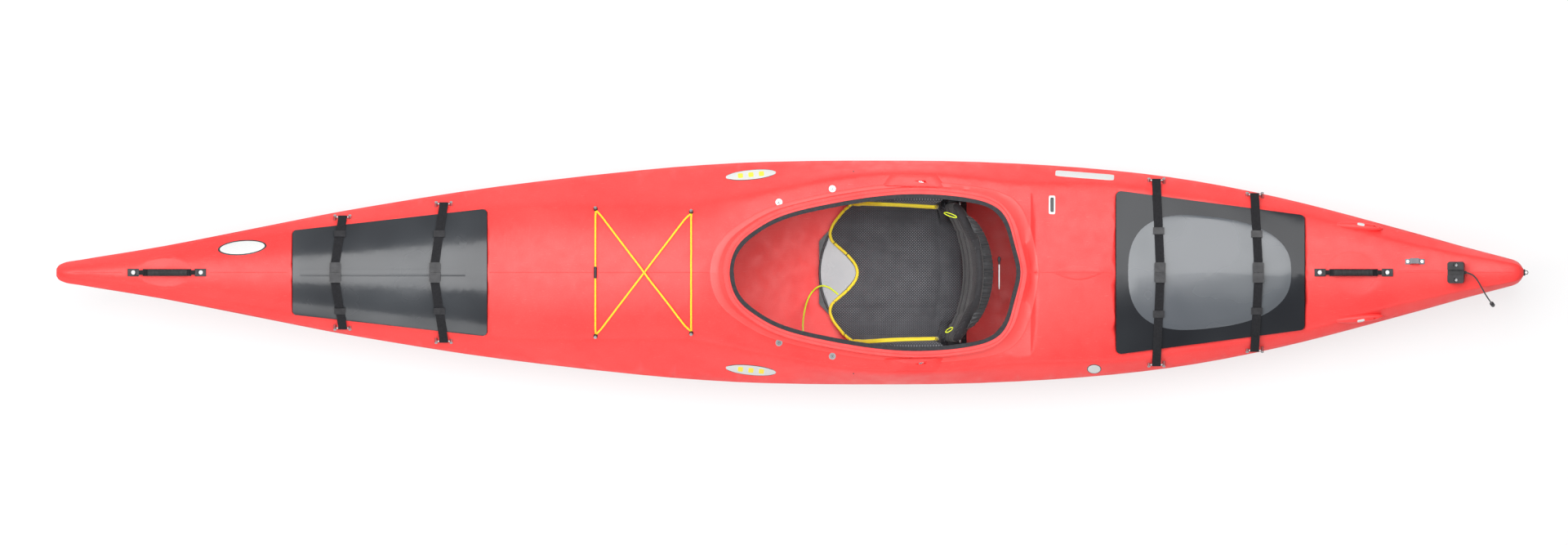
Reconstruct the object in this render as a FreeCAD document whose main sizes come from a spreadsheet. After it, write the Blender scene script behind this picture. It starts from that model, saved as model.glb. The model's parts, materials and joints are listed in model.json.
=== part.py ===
"""A one-seat touring kayak with two hatches, in millimetres.

X runs aft: the bow is at -X and the stern at +X. +Y is starboard and +Z is up.
The origin is on the ground under the keel, midway along the boat.
Places along the hull are shares of its length in percent, 0 at the bow and 100 at the stern.
"""
import FreeCAD, Part
import math
import os

from FreeCAD import Matrix, Placement, Rotation, Vector

doc = FreeCAD.newDocument("Kayak")

# ------------------------------------------------------------------ driving sizes
SIZES = {
    # hull
    "hull_length": 4200, "hull_beam": 641, "hull_depth": 389, "hull_wall": 5, "stern_rake": 30,
    # cockpit
    "cockpit_fore": 45.9, "cockpit_length": 833, "cockpit_width": 449,
    "lip_reach": 18, "lip_inner": 9, "lip_thick": 11, "neck_wall": 5, "neck_depth": 24,
    "trim_top": 2.5, "trim_side": 3, "trim_depth": 13,
    # bulkheads
    "front_bulkhead_at": 30.4, "rear_bulkhead_at": 69.6, "bulkhead_thick": 12, "glue_gap": 0.3,
    # hatches
    "front_hatch_fore": 16.1, "front_hatch_aft": 29.35, "front_hatch_fore_width": 243,
    "front_hatch_aft_width": 368, "front_hatch_rise": 2,
    "rear_hatch_fore": 72.25, "rear_hatch_aft": 85.1, "rear_hatch_fore_width": 470,
    "rear_hatch_aft_width": 328, "rear_hatch_rise": 8,
    "lid_wall": 4, "lid_gap": 2, "seat_flange": 28, "hatch_corner": 14,
    "gasket_wide": 10, "gasket_thick": 3,
    # hatch straps and side-release buckles
    "strap_wide": 25, "strap_thick": 1.8, "strap_lift": 3.2, "anchor_bar_d": 5, "anchor_bar_long": 52,
    "anchor_gap": 0.3, "anchor_foot_d": 9, "buckle_wide": 32, "buckle_thick": 12, "buckle_wall": 2,
    "buckle_half": 29, "prong_reach": 18, "prong_wide": 5, "prong_thick": 3, "prong_clear": 0.8,
    "slider_long": 20, "slider_thick": 5,
    # carry handles
    "handle_span": 193, "handle_grip_long": 117, "handle_grip_d": 22, "handle_rise": 27,
    "handle_strap_wide": 20, "handle_strap_thick": 3, "handle_plate_long": 32, "handle_plate_wide": 22,
    "handle_plate_thick": 5, "handle_eye_d": 8, "handle_gap": 0.4,
    # fasteners
    "screw_head_d": 9, "screw_head_high": 3, "screw_shank_d": 5, "screw_shank_long": 14, "screw_clear": 0.15,
    "washer_d": 20, "washer_thick": 1.5, "boss_d": 14,
    # seat
    "seat_floor_gap": 9, "seat_pan_wall": 5, "seat_half_width": 218, "seat_bend": 95,
    "cushion_thick": 20, "soft_gap": 0.4, "hip_pad_thick": 14, "hip_pad_high": 46,
    "backrest_thick": 34, "backrest_half_width": 188, "backrest_bottom": 72, "backrest_top": 316,
    "backrest_shoulder": 255, "backrest_sag": 58, "backrest_lean": 9, "backrest_pin_d": 8, "backrest_pin_head": 3,
    "backrest_pin_reach": 20,
    "toggle_rod_d": 5, "toggle_rod_long": 73, "toggle_knob_d": 9.5, "toggle_knob_long": 21,
    # thigh braces and footrests
    "brace_thick": 8, "rail_long": 410, "rail_high": 22, "rail_thick": 9, "rail_lip": 3,
    "pedal_long": 46, "pedal_thick": 9, "pedal_gap": 0.3,
    "footrest_height": 125,
    # deck bungee
    "bungee_d": 5.5, "bungee_gap": 0.5, "bungee_anchor_d": 12, "bungee_anchor_high": 9, "sleeve_d": 9,
    # stern gear
    "block_long": 47, "block_wide": 62, "block_high": 46, "block_slot_wide": 16, "block_slot_deep": 14, "block_foot": 9,
    "block_bore_d": 8, "bracket_long": 56, "bracket_wide": 16, "bracket_thick": 2, "bracket_high": 21,
    "bracket_loop_long": 26, "socket_od": 12, "socket_bore": 8, "socket_high": 40, "socket_plate": 3,
    "tube_od": 6, "tube_bore": 3.5, "tube_gap": 0.1, "fairing_long": 138, "fairing_wide": 26, "fairing_high": 16,
    # cords
    "park_cord_d": 4, "seat_cord_d": 5, "cord_toggle_d": 12, "cord_toggle_long": 22,
}
sheet = doc.addObject("Spreadsheet::Sheet", "Sizes")
for row, (alias, value) in enumerate(SIZES.items(), 1):
    sheet.set("A%d" % row, alias.replace("_", " "))
    sheet.set("B%d" % row, str(value))
    sheet.setAlias("B%d" % row, alias)
doc.recompute()


def size(alias):
    """A driving size, read from the sheet."""
    return float(sheet.get(alias))


# ------------------------------------------------------------------ hull lines
# (percent of the length, value). Heights are percent of hull_depth, breadths of half the beam.
HALF_BEAM = ((0, 3), (0.11, 5.5), (0.28, 7.3), (0.61, 9.1), (1.28, 10.6), (3.5, 15.3), (6.9, 22.6),
             (13.5, 39.4), (18.6, 52.6), (23.6, 63.9), (28.6, 74.1), (33.6, 82.5), (38.6, 89.8),
             (43.6, 95.6), (48.6, 98.9), (54.8, 100), (60.3, 99.6), (65.3, 97.4), (70.4, 93.1),
             (75.4, 86.1), (80.4, 75.2), (85.4, 60.6), (88.7, 49.3), (93.8, 31), (97.1, 19),
             (98.8, 13.5), (99.3, 11.3), (99.6, 9.9), (99.9, 5.8), (100, 3.5))
KEEL = ((0, 72), (0.11, 68.6), (0.28, 65.6), (0.61, 60.2), (1.28, 51.7), (1.8, 47.5), (3.5, 37.3),
        (5.2, 30.7), (6.9, 24.7), (8.5, 20.5), (11.9, 14.4), (15.2, 11.2), (18.6, 8.8), (25.2, 6.2),
        (31.9, 3.9), (40.3, 1.5), (46.4, 0.5), (50, 0.15), (54, 0), (66, 0), (71, 0.2), (75.4, 0.7),
        (80.4, 1.8),
        (85.4, 3.3), (90.4, 4.8), (93.8, 6.6), (97.1, 9), (100, 10.5))
SHEER = ((0, 73.5), (1.8, 71), (6.7, 65), (13, 58.4), (19, 52), (24, 50.3), (32, 48.1), (46.4, 47.2),
         (56.7, 45.7), (68.7, 45.3), (80.3, 42.7), (83.2, 42.4), (88.7, 45.3), (95.3, 52), (100, 61.5))
DECK = ((0, 75), (0.11, 76.3), (0.28, 78.2), (0.72, 80), (3.5, 78.2), (6.9, 76.4), (10.2, 75.2),
        (13.5, 76.4), (16.2, 76.9), (22, 79.2), (29, 82), (32, 83.2), (37, 89.6), (42, 98), (43.6, 100),
        (45.5, 94.5), (47.7, 88.7), (52, 81), (57, 75), (60.3, 72.4), (62.5, 71.2), (67.2, 73.7),
        (68.7, 72.9), (75.4, 68.6), (80.4, 66.2), (85.4, 63.8), (90.4, 65.2), (93.8, 66.2),
        (98.8, 68.6), (99.6, 67.6), (100, 64))
# The deck's edge: its place out from the centre (share of the half beam) and up from the sheer
# (share of the way to the deck's centre).
EDGE_OUT = ((0, .6), (6.9, .68), (13, .78), (16.5, .82), (24, .775), (29.2, .765), (32, .745),
            (35.6, .70), (39.3, .655), (42.5, .635), (44.5, .66), (48.6, .74), (51.8, .825),
            (56.7, .90), (60.9, .885), (65.3, .83), (67.5, .835), (72.2, .87), (75.4, .84),
            (80.4, .83), (85.4, .84), (88.7, .78), (93.8, .7), (100, .7))
EDGE_UP = ((0, .6), (6.9, .55), (13, .44), (16.5, .42), (24, .5), (29.2, .53), (32, .65), (35.6, .68),
           (39.3, .73), (44.5, .75), (48.6, .86), (51.8, .87), (56.7, .91), (60.9, .89), (65.3, .8),
           (67.5, .72), (72.2, .64), (80.4, .6), (85.4, .56), (88.7, .7), (93.8, .8), (100, .8))
# How full the bottom is: 0 a vee, 1 flat with a round bilge.
FULLNESS = ((0, 0), (10, .25), (25, .6), (40, .85), (55, 1), (70, .95), (85, .65), (95, .3), (100, .2))
# The top of the cockpit's rim, and the floor of the notch behind it, percent of hull_depth.
RIM_TOP = ((45, 104.6), (47.9, 97.6), (51.1, 91.8), (54.3, 86.4), (57.4, 81.8), (59.8, 79.3),
           (63.8, 77.2), (67, 76.6))
NOTCH = ((62, 71.2), (64, 68.6), (65.7, 67.5), (66.4, 67.4), (66.9, 74.5))
STATIONS = (0, 0.12, 0.3, 0.65, 1.3, 2.2, 3.5, 5.2, 7, 9, 12, 15, 18.6, 22, 25.5, 29, 32, 35.5, 38.6,
            41, 42.4, 43.5, 44.5, 45.7, 47, 49.5, 52, 56.7, 60.5, 63, 65.5, 67.5, 70, 72.5, 76, 80.4,
            85.4, 88.7, 91.5, 94, 96, 97.8, 99, 99.5, 99.8, 100)
RAKE_FROM = 92
INNER_FROM = 1.3
INNER_TO = 99


def smooth_line(points):
    """A smooth curve through points that never overshoots them (monotone cubic)."""
    xs, ys = zip(*points)
    steps = [(ys[i + 1] - ys[i]) / (xs[i + 1] - xs[i]) for i in range(len(xs) - 1)]
    slopes = [steps[0]]
    for before, after in zip(steps, steps[1:]):
        slopes.append(2 * before * after / (before + after) if before * after > 0 else 0)
    slopes.append(steps[-1])

    def value(x):
        i = max(0, min(len(steps) - 1, sum(x > k for k in xs[1:-1])))
        width = xs[i + 1] - xs[i]
        t = (x - xs[i]) / width
        return (ys[i] * (1 + 2 * t) * (1 - t) ** 2 + ys[i + 1] * t * t * (3 - 2 * t)
                + width * t * (1 - t) * (slopes[i] * (1 - t) - slopes[i + 1] * t))

    return value


half_beam_line, keel_line, sheer_line, deck_line = map(smooth_line, (HALF_BEAM, KEEL, SHEER, DECK))
edge_out_line, edge_up_line, fullness_line = map(smooth_line, (EDGE_OUT, EDGE_UP, FULLNESS))
rim_line = smooth_line(RIM_TOP)


# The origin is midway along the whole boat, with the socket behind the stern.
origin_shift = (size("socket_plate") + size("socket_od")) / 2


def along(share):
    """X of a place given in percent of the hull's length."""
    return size("hull_length") * (share / 100 - 0.5) - origin_shift


def share_at(x):
    """The percent of the length that lies at x."""
    return 100 * ((x + origin_shift) / size("hull_length") + 0.5)


def height(percent):
    """Z of a height given in percent of the hull's depth."""
    return size("hull_depth") * percent / 100


def half_section(share):
    """Poles (y, z) of the starboard half of a section: keel, bilge, sheer, deck edge, deck centre."""
    beam = size("hull_beam") / 2 * half_beam_line(share) / 100
    keel, sheer, deck = (height(line(share)) for line in (keel_line, sheer_line, deck_line))
    full, side = fullness_line(share), sheer - keel
    edge = (beam * edge_out_line(share), sheer + (deck - sheer) * edge_up_line(share))
    crown = (0.5 * edge[0], deck - 0.12 * (deck - edge[1]))

    def between(a, b, part):
        return (a[0] + part * (b[0] - a[0]), a[1] + part * (b[1] - a[1]))

    sheer_point = (beam, sheer)
    return [(0, keel), (beam * (0.3 + 0.6 * full), keel + side * (0.1 - 0.06 * full)),
            (beam * (0.92 + 0.08 * full), keel + side * (0.55 - 0.33 * full)), sheer_point,
            between(sheer_point, edge, 0.5), between(sheer_point, edge, 0.93),
            between(edge, crown, 0.12), crown, (0, deck)]


SHEER_POLE = 3


def inset(poles, depth):
    """A half section moved inwards by depth, or outwards where depth is negative."""
    moved = [(0, poles[0][1] + depth)]
    for before, here, after in zip(poles, poles[1:], poles[2:]):
        normals = []
        for a, b in ((before, here), (here, after)):
            dy, dz = b[0] - a[0], b[1] - a[1]
            run = math.hypot(dy, dz)
            normals.append((-dz / run, dy / run))
        (ay, az), (by, bz) = normals
        grow = depth / max(0.5, (1 + ay * by + az * bz) / 2)
        moved.append((max(0.5, here[0] + grow * (ay + by) / 2), here[1] + grow * (az + bz) / 2))
    return moved + [(0, poles[-1][1] - depth)]


class Form:
    """The hull's closed shape, moved inwards by depth, between two stations."""

    def __init__(self, depth, first=STATIONS[0], last=STATIONS[-1]):
        shares = [s for s in STATIONS if first <= s <= last]
        self.places = [along(s) for s in shares]
        rows = []
        for share in shares:
            poles = inset(half_section(share), depth) if depth else half_section(share)
            lean = max(0, (share - RAKE_FROM) / (STATIONS[-1] - RAKE_FROM)) ** 2
            lean *= size("stern_rake") / height(SHEER[-1][1] - KEEL[-1][1])
            sheer = height(sheer_line(share))
            rows.append([Vector(along(share) + lean * (z - sheer), y, z) for y, z in poles])
        self.bottom = self.skin([row[:SHEER_POLE + 1] for row in rows])
        self.deck = self.skin([row[SHEER_POLE:] for row in rows])
        self.solid = self.close()

    def skin(self, rows):
        """A surface whose sections are the rows' splines and which is smooth along the hull."""
        columns = []
        for column in zip(*rows):
            curve = Part.BSplineCurve()
            curve.interpolate(Points=list(column), Parameters=self.places)
            columns.append(curve)
        across = len(columns)
        spans = across - 3
        surface = Part.BSplineSurface()
        surface.buildFromPolesMultsKnots(
            [list(poles) for poles in zip(*(c.getPoles() for c in columns))],
            columns[0].getMultiplicities(), [4] + [1] * (spans - 1) + [4], columns[0].getKnots(),
            [float(k) for k in range(spans + 1)], False, False, 3, 3)
        return surface

    def close(self):
        halves = [surface.toShape() for surface in (self.bottom, self.deck)]
        faces = halves + [half.mirror(Vector(), Vector(0, 1, 0)) for half in halves]
        for end in (self.places[0], self.places[-1]):
            edges = [surface.uIso(end).toShape() for surface in (self.bottom, self.deck)]
            edges += [edge.mirror(Vector(), Vector(0, 1, 0)) for edge in edges]
            faces.append(Part.Face(Part.Wire(Part.__sortEdges__(edges))))
        shell = Part.makeShell(faces)
        shell.sewShape()
        solid = Part.makeSolid(Part.Shell(shell.Faces))
        if solid.Volume < 0:
            solid.reverse()
        return solid

    def deck_at(self, x, y):
        """The point of the deck above a place on the plan."""
        low, high = self.deck.bounds()[2:]
        for _ in range(40):
            middle = (low + high) / 2
            if self.deck.value(x, middle).y > abs(y):
                low = middle
            else:
                high = middle
        point = self.deck.value(x, low)
        return Vector(x, y, point.z)

    def normal_at(self, x, y):
        """The deck's outward direction there."""
        step = 2
        fore, aft = self.deck_at(x - step, y), self.deck_at(x + step, y)
        port, starboard = self.deck_at(x, y - step), self.deck_at(x, y + step)
        return (aft - fore).cross(starboard - port).normalize()

    def side_at(self, x, z):
        """Half of the hull's breadth below the sheer, at a height."""
        low, high = self.bottom.bounds()[2:]
        for _ in range(40):
            middle = (low + high) / 2
            if self.bottom.value(x, middle).z < z:
                low = middle
            else:
                high = middle
        return self.bottom.value(x, low).y


# ------------------------------------------------------------------ shape helpers
FAR = 600
PORT, STARBOARD = -1, 1
SIDES = {"port": PORT, "starboard": STARBOARD}
UP = Vector(0, 0, 1)


def prism_up(wire, bottom, top):
    """A wire's area on the plan, from one height to another."""
    face = Part.Face(wire)
    face.translate(Vector(0, 0, bottom - face.BoundBox.ZMin))
    return face.extrude(Vector(0, 0, top - bottom))


def prism_across(outline):
    """The area of an (x, z) outline, right across the boat."""
    corners = [Vector(x, -FAR, z) for x, z in outline]
    return Part.Face(Part.makePolygon(corners + corners[:1])).extrude(Vector(0, 2 * FAR, 0))


def rounded(points, radius):
    """A closed plan outline with its corners rounded."""
    edges, count = [], len(points)
    for i in range(count):
        before, here, after = (Vector(*points[(i + k) % count], 0) for k in (-1, 0, 1))
        to_before, to_after = (before - here).normalize(), (after - here).normalize()
        half = to_before.getAngle(to_after) / 2
        reach = radius / math.tan(half)
        start, end = here + to_before * reach, here + to_after * reach
        middle = here + (to_before + to_after).normalize() * (radius / math.sin(half) - radius)
        edges.append(Part.Arc(start, middle, end))
    lines = [Part.LineSegment(a.EndPoint, b.StartPoint) for a, b in zip(edges, edges[1:] + edges[:1])]
    shapes = [shape.toShape() for pair in zip(edges, lines) for shape in pair]
    return Part.Wire(shapes)


def side_prism(points, radius):
    """The area of a rounded (x, z) outline, right across the boat."""
    wire = rounded(points, radius)
    wire.rotate(Vector(), Vector(1, 0, 0), 90)
    wire.translate(Vector(0, -FAR, 0))
    return Part.Face(wire).extrude(Vector(0, 2 * FAR, 0))


def end_prism(points, radius, fore, aft):
    """The area of a rounded (y, z) outline, from one x to another."""
    wire = rounded(points, radius)
    wire.Placement = Placement(Vector(fore, 0, 0), Rotation(Vector(0, 1, 0), UP, Vector(1, 0, 0), "ZXY"))
    return Part.Face(wire).extrude(Vector(aft - fore, 0, 0))


def band_across(line, fore, aft, above, below, steps=7):
    """The space between two offsets of a height line, right across the boat."""
    shares = [fore + (aft - fore) * i / steps for i in range(steps + 1)]
    edges = []
    for offset in (above, below):
        curve = Part.BSplineCurve()
        curve.interpolate([Vector(along(s), -FAR, height(line(s)) + offset) for s in shares])
        edges.append(curve)
    ends = [Part.LineSegment(edges[0].value(at), edges[1].value(at)).toShape()
            for at in (edges[0].FirstParameter, edges[0].LastParameter)]
    wire = Part.Wire(Part.__sortEdges__([e.toShape() for e in edges] + ends))
    return Part.Face(wire).extrude(Vector(0, 2 * FAR, 0))


def rod(start, end, diameter):
    """A round bar between two points."""
    run = end - start
    return Part.makeCylinder(diameter / 2, run.Length, start, run)


def pair(shape):
    """A starboard shape and its mirror image to port."""
    return Part.makeCompound([shape, shape.mirror(Vector(), Vector(0, 1, 0))])


def union(shapes):
    first, *rest = shapes
    return first.fuse(rest).removeSplitter() if rest else first


def feature(name, shape):
    """A named piece whose shape is worked out here."""
    piece = doc.addObject("Part::Feature", name)
    piece.Label = name
    piece.Shape = shape
    PIECES[name] = piece
    return piece


PIECES = {}

# ------------------------------------------------------------------ the hull's forms
outer = Form(0)
inner = Form(size("hull_wall"), INNER_FROM, INNER_TO)
liner = Form(size("hull_wall") + size("glue_gap"), INNER_FROM, INNER_TO)

# ------------------------------------------------------------------ cockpit outline
# The rim on the plan: (share of the cockpit's length from its front, share of its half width).
EGG = ((0, 0), (.004, .13), (.018, .281), (.0435, .411), (.0857, .536), (.142, .661), (.198, .745),
       (.31, .849), (.451, .943), (.619, 1), (.732, .988), (.844, .932), (.9, .865), (.928, .797),
       (.9565, .646), (.979, .37), (1, 0))
EGG_STEPS = 30


def egg(grow):
    """The cockpit's outline on the plan, grown outwards by so much."""
    fore, half = along(size("cockpit_fore")), size("cockpit_width") / 2
    side = [Vector(fore + size("cockpit_length") * a, half * b, 0) for a, b in EGG]
    ring = Part.BSplineCurve()
    ring.interpolate(Points=side + [Vector(p.x, -p.y, 0) for p in side[-2:0:-1]], PeriodicFlag=True)
    if not grow:
        return Part.Wire(ring.toShape())
    points = []
    for point in ring.discretize(EGG_STEPS + 1)[:-1]:
        tangent = ring.tangent(ring.parameter(point))[0]
        points.append(point + tangent.cross(UP) * (-grow))
    moved = Part.BSplineCurve()
    moved.interpolate(Points=points, PeriodicFlag=True)
    return Part.Wire(moved.toShape())


def egg_ring(from_grow, to_grow, above, below):
    """A ring round the cockpit between two outlines and two offsets from the rim's top."""
    whole = prism_up(egg(to_grow), 0, FAR).cut(prism_up(egg(from_grow), 0, FAR))
    fore = share_at(along(size("cockpit_fore")) - to_grow) - 0.4
    aft = share_at(along(size("cockpit_fore")) + size("cockpit_length") + to_grow) + 0.4
    return whole.common(band_across(rim_line, fore, aft, above, below))


# ------------------------------------------------------------------ hatches
LID_STATIONS = {"front": (9, 35.5), "rear": (65.5, 91.5)}


class Hatch:
    """A hatch's place, outline and seat in the deck."""

    def __init__(self, name):
        self.name = name
        self.fore, self.aft = (along(size("%s_hatch_%s" % (name, end))) for end in ("fore", "aft"))
        self.half = [size("%s_hatch_%s_width" % (name, end)) / 2 for end in ("fore", "aft")]
        self.rise = size("%s_hatch_rise" % name)
        self.crown = Form(-self.rise, *LID_STATIONS[name])
        self.seat = [outer.deck_at(x, half).z for x, half in zip((self.fore, self.aft), self.half)]

    def outline(self, grow):
        slope = (self.half[1] - self.half[0]) / (self.aft - self.fore)
        ends = [(self.fore - grow, self.half[0] - slope * grow), (self.aft + grow, self.half[1] + slope * grow)]
        corners = [(x, half + grow) for x, half in ends]
        radius = max(size("hatch_corner") + grow, size("hatch_corner") / 2)
        return rounded(corners + [(x, -y) for x, y in corners[::-1]], radius)

    def half_at(self, x):
        """Half the lid's breadth at x."""
        part = (x - self.fore) / (self.aft - self.fore)
        return self.half[0] + part * (self.half[1] - self.half[0])

    def seat_at(self, x):
        """Height of the seat under the lid's edge."""
        part = (x - self.fore) / (self.aft - self.fore)
        return self.seat[0] + part * (self.seat[1] - self.seat[0])

    def above(self, grow, lift, top=FAR):
        """The space over the seat inside the grown outline."""
        fore, aft = self.fore - 2 * abs(grow) - 40, self.aft + 2 * abs(grow) + 40
        wedge = prism_across([(fore, self.seat_at(fore) + lift), (aft, self.seat_at(aft) + lift),
                              (aft, top), (fore, top)])
        return prism_up(self.outline(grow), 0, FAR).common(wedge)


hatches = {name: Hatch(name) for name in ("front", "rear")}

# ------------------------------------------------------------------ hull shell
notch_line = smooth_line(NOTCH)


def notch(lift):
    """The dip across the deck behind the cockpit, lowered and widened by a wall."""
    shares = [point[0] for point in NOTCH]
    floor = [(along(s), height(notch_line(s)) - lift) for s in shares]
    floor[-1] = (floor[-1][0] + lift, floor[-1][1])
    floor[-2] = (floor[-2][0] + lift, floor[-2][1])
    floor[0] = (floor[0][0] - lift, floor[0][1])
    return prism_across(floor + [(floor[-1][0] + 2, FAR), (floor[0][0], FAR)])


HANDLES = {"bow": 7.53, "stern": 88.45}
DISH_LONG = {"bow": 147, "stern": 134}
DISH_DEEP = {"bow": 11, "stern": 5}


def dish(end, wall):
    """The hollow under a carry handle: a shallow barrel across the deck."""
    half, deep = DISH_LONG[end] / 2, DISH_DEEP[end]
    radius = (half ** 2 + deep ** 2) / (2 * deep)
    x = along(HANDLES[end])
    top = outer.deck_at(x, 0).z
    return Part.makeCylinder(radius + wall, 2 * FAR, Vector(x, -FAR, top - deep + radius), Vector(0, 1, 0))


def build_shell(holes, rim_holes):
    """The moulded hull and deck in one piece, with the cockpit's rim."""
    wall = size("hull_wall")
    outside = outer.solid.cut([notch(0), dish("bow", 0), dish("stern", 0)]
                              + [hatch.above(size("lid_gap"), 0) for hatch in hatches.values()])
    inside = inner.solid.cut([notch(wall), dish("bow", wall), dish("stern", wall)]
                             + [hatch.above(size("lid_gap") + wall, -wall) for hatch in hatches.values()])
    openings = [prism_up(hatch.outline(-size("seat_flange")), height(30), FAR) for hatch in hatches.values()]
    openings.append(prism_up(egg(0), height(40), FAR))
    shell = outside.cut([inside] + openings).cut(holes)
    neck = prism_up(egg(size("neck_wall")), 0, FAR).cut(prism_up(egg(0), 0, FAR))
    fore, aft = size("cockpit_fore") - 1, share_at(along(size("cockpit_fore")) + size("cockpit_length")) + 1
    foot = smooth_line([(s, min(deck_line(s), notch_line(s) if s > NOTCH[0][0] else 200))
                        for s in (fore - 1, 46.5, 48, 50, 52, 55, 58, 61, 64, 65.7, 66.4, aft + 1)])
    neck = neck.common(band_across(foot, fore, aft, FAR / 2, -size("neck_depth")))
    neck = neck.common(band_across(rim_line, fore, aft, -size("lip_thick") / 2, -FAR)).cut(rim_holes)
    lip = egg_ring(-size("lip_inner"), size("lip_reach"), 0, -size("lip_thick"))
    return shell.fuse(neck.fuse(lip))


# ------------------------------------------------------------------ fasteners
def bound(kind, name, **sizes):
    """A primitive whose properties follow the sheet."""
    piece = doc.addObject(kind, name)
    for prop, expression in sizes.items():
        piece.setExpression(prop, expression)
    return piece


def lift(piece, expression):
    """Sets a primitive's height in its own frame from the sheet."""
    piece.setExpression("Placement.Base.z", expression)
    return piece


def joined(name, *pieces):
    whole = doc.addObject("Part::MultiFuse", name)
    whole.Shapes = list(pieces)
    doc.recompute()
    return whole


head = bound("Part::Cylinder", "head", Radius="Sizes.screw_head_d / 2", Height="Sizes.screw_head_high")
shank = lift(bound("Part::Cylinder", "shank", Radius="Sizes.screw_shank_d / 2",
                   Height="Sizes.screw_shank_long"), "-Sizes.screw_shank_long")
hex_socket = lift(bound("Part::Prism", "hex_socket", Circumradius="Sizes.screw_head_d / 4",
                        Height="Sizes.screw_head_high"), "Sizes.screw_head_high / 2")
hex_socket.Polygon = 6
screw_blank = joined("screw_blank", head, shank)
plain_screw = doc.addObject("Part::Cut", "plain_screw")
plain_screw.Base, plain_screw.Tool = screw_blank, hex_socket
washer = lift(bound("Part::Cylinder", "washer", Radius="Sizes.washer_d / 2",
                    Height="Sizes.washer_thick"), "0")
raised_head = lift(bound("Part::Cylinder", "raised_head", Radius="Sizes.screw_head_d / 2",
                         Height="Sizes.screw_head_high"), "Sizes.washer_thick")
washer_shank = lift(bound("Part::Cylinder", "washer_shank", Radius="Sizes.screw_shank_d / 2",
                          Height="Sizes.screw_shank_long"), "-Sizes.screw_shank_long")
washer_screw = joined("washer_screw", washer, raised_head, washer_shank)
doc.recompute()


def placed(shape, point, direction):
    """A copy of a shape whose own +Z points along a direction."""
    copy = shape.copy()
    copy.Placement = Placement(point, Rotation(UP, direction))
    return copy


def screws(name, master, spots):
    return feature(name, Part.makeCompound([placed(master.Shape, *spot) for spot in spots]))


HOLE_SPARE = 10
HOLE_ABOVE = 30


def hole(point, direction, extra=0):
    """The hole for a screw at a spot."""
    start = point - direction * (size("screw_shank_long") + extra)
    return rod(start, point + direction * HOLE_ABOVE, size("screw_shank_d") + 2 * size("screw_clear"))


def both(x, y, z_and_direction):
    """A spot and its mirror image."""
    z, direction = z_and_direction
    return [(Vector(x, side * y, z), Vector(direction.x, side * direction.y, direction.z))
            for side in (STARBOARD, PORT)]


DECK_SCREWS = ((49.26, 201), (52.9, 239.5), (58.9, 260))
RIM_SCREWS = (49.2, 59.05)
RIM_SCREW_DROP = 25
RING_SAMPLES = 400
FOOTREST_SCREWS = (32, 36.25, 40.5)


def on_deck(x, y):
    """Height of the deck at a place on the plan, and its outward direction there."""
    return outer.deck_at(x, y).z, outer.normal_at(x, y)


deck_spots = [spot for share, y in DECK_SCREWS for spot in both(along(share), y, on_deck(along(share), y))]


def rim_spot(share):
    """A screw through the neck of the cockpit rim."""
    ring = egg(size("neck_wall")).Edges[0].Curve
    x = along(share)
    starboard = [p for p in ring.discretize(RING_SAMPLES) if p.y > 0]
    point = min(starboard, key=lambda p: abs(p.x - x))
    outwards = ring.tangent(ring.parameter(point))[0].cross(UP)
    outwards = outwards if outwards.y > 0 else outwards * -1
    z = height(rim_line(share)) - RIM_SCREW_DROP
    return [(Vector(point.x, side * point.y, z), Vector(outwards.x, side * outwards.y, 0))
            for side in (STARBOARD, PORT)]


rim_spots = [spot for share in RIM_SCREWS for spot in rim_spot(share)]


def side_spot(share):
    x, z = along(share), size("footrest_height")
    step = 4
    along_hull = Vector(2 * step, outer.side_at(x + step, z) - outer.side_at(x - step, z), 0)
    up_hull = Vector(0, outer.side_at(x, z + step) - outer.side_at(x, z - step), 2 * step)
    return both(x, outer.side_at(x, z), (z, up_hull.cross(along_hull).normalize()))


footrest_spots = [spot for share in FOOTREST_SCREWS for spot in side_spot(share)]


class Handle:
    """A carry handle's frame: X along the boat between its screws, Z out of the deck."""

    def __init__(self, end):
        middle, half = along(HANDLES[end]), size("handle_span") / 2
        self.ends = [outer.deck_at(middle + sign * half, 0) for sign in (-1, 1)]
        run = (self.ends[1] - self.ends[0]).normalize()
        self.frame = Placement((self.ends[0] + self.ends[1]) * 0.5, Rotation(Vector(1, 0, 0), run))
        self.up = self.frame.Rotation.multVec(UP)
        self.spots = [(point + self.up * size("handle_plate_thick"), self.up) for point in self.ends]


handles = {end: Handle(end) for end in HANDLES}

# Straps over the hatches: where each crosses the lid, where its anchor bar is, and how far out.
STRAPS = {"front": ((19.0, 19.5, 153), (25.8, 26.4, 191)),
          "rear": ((75.25, 75.0, 258), (81.95, 81.7, 217))}


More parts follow.
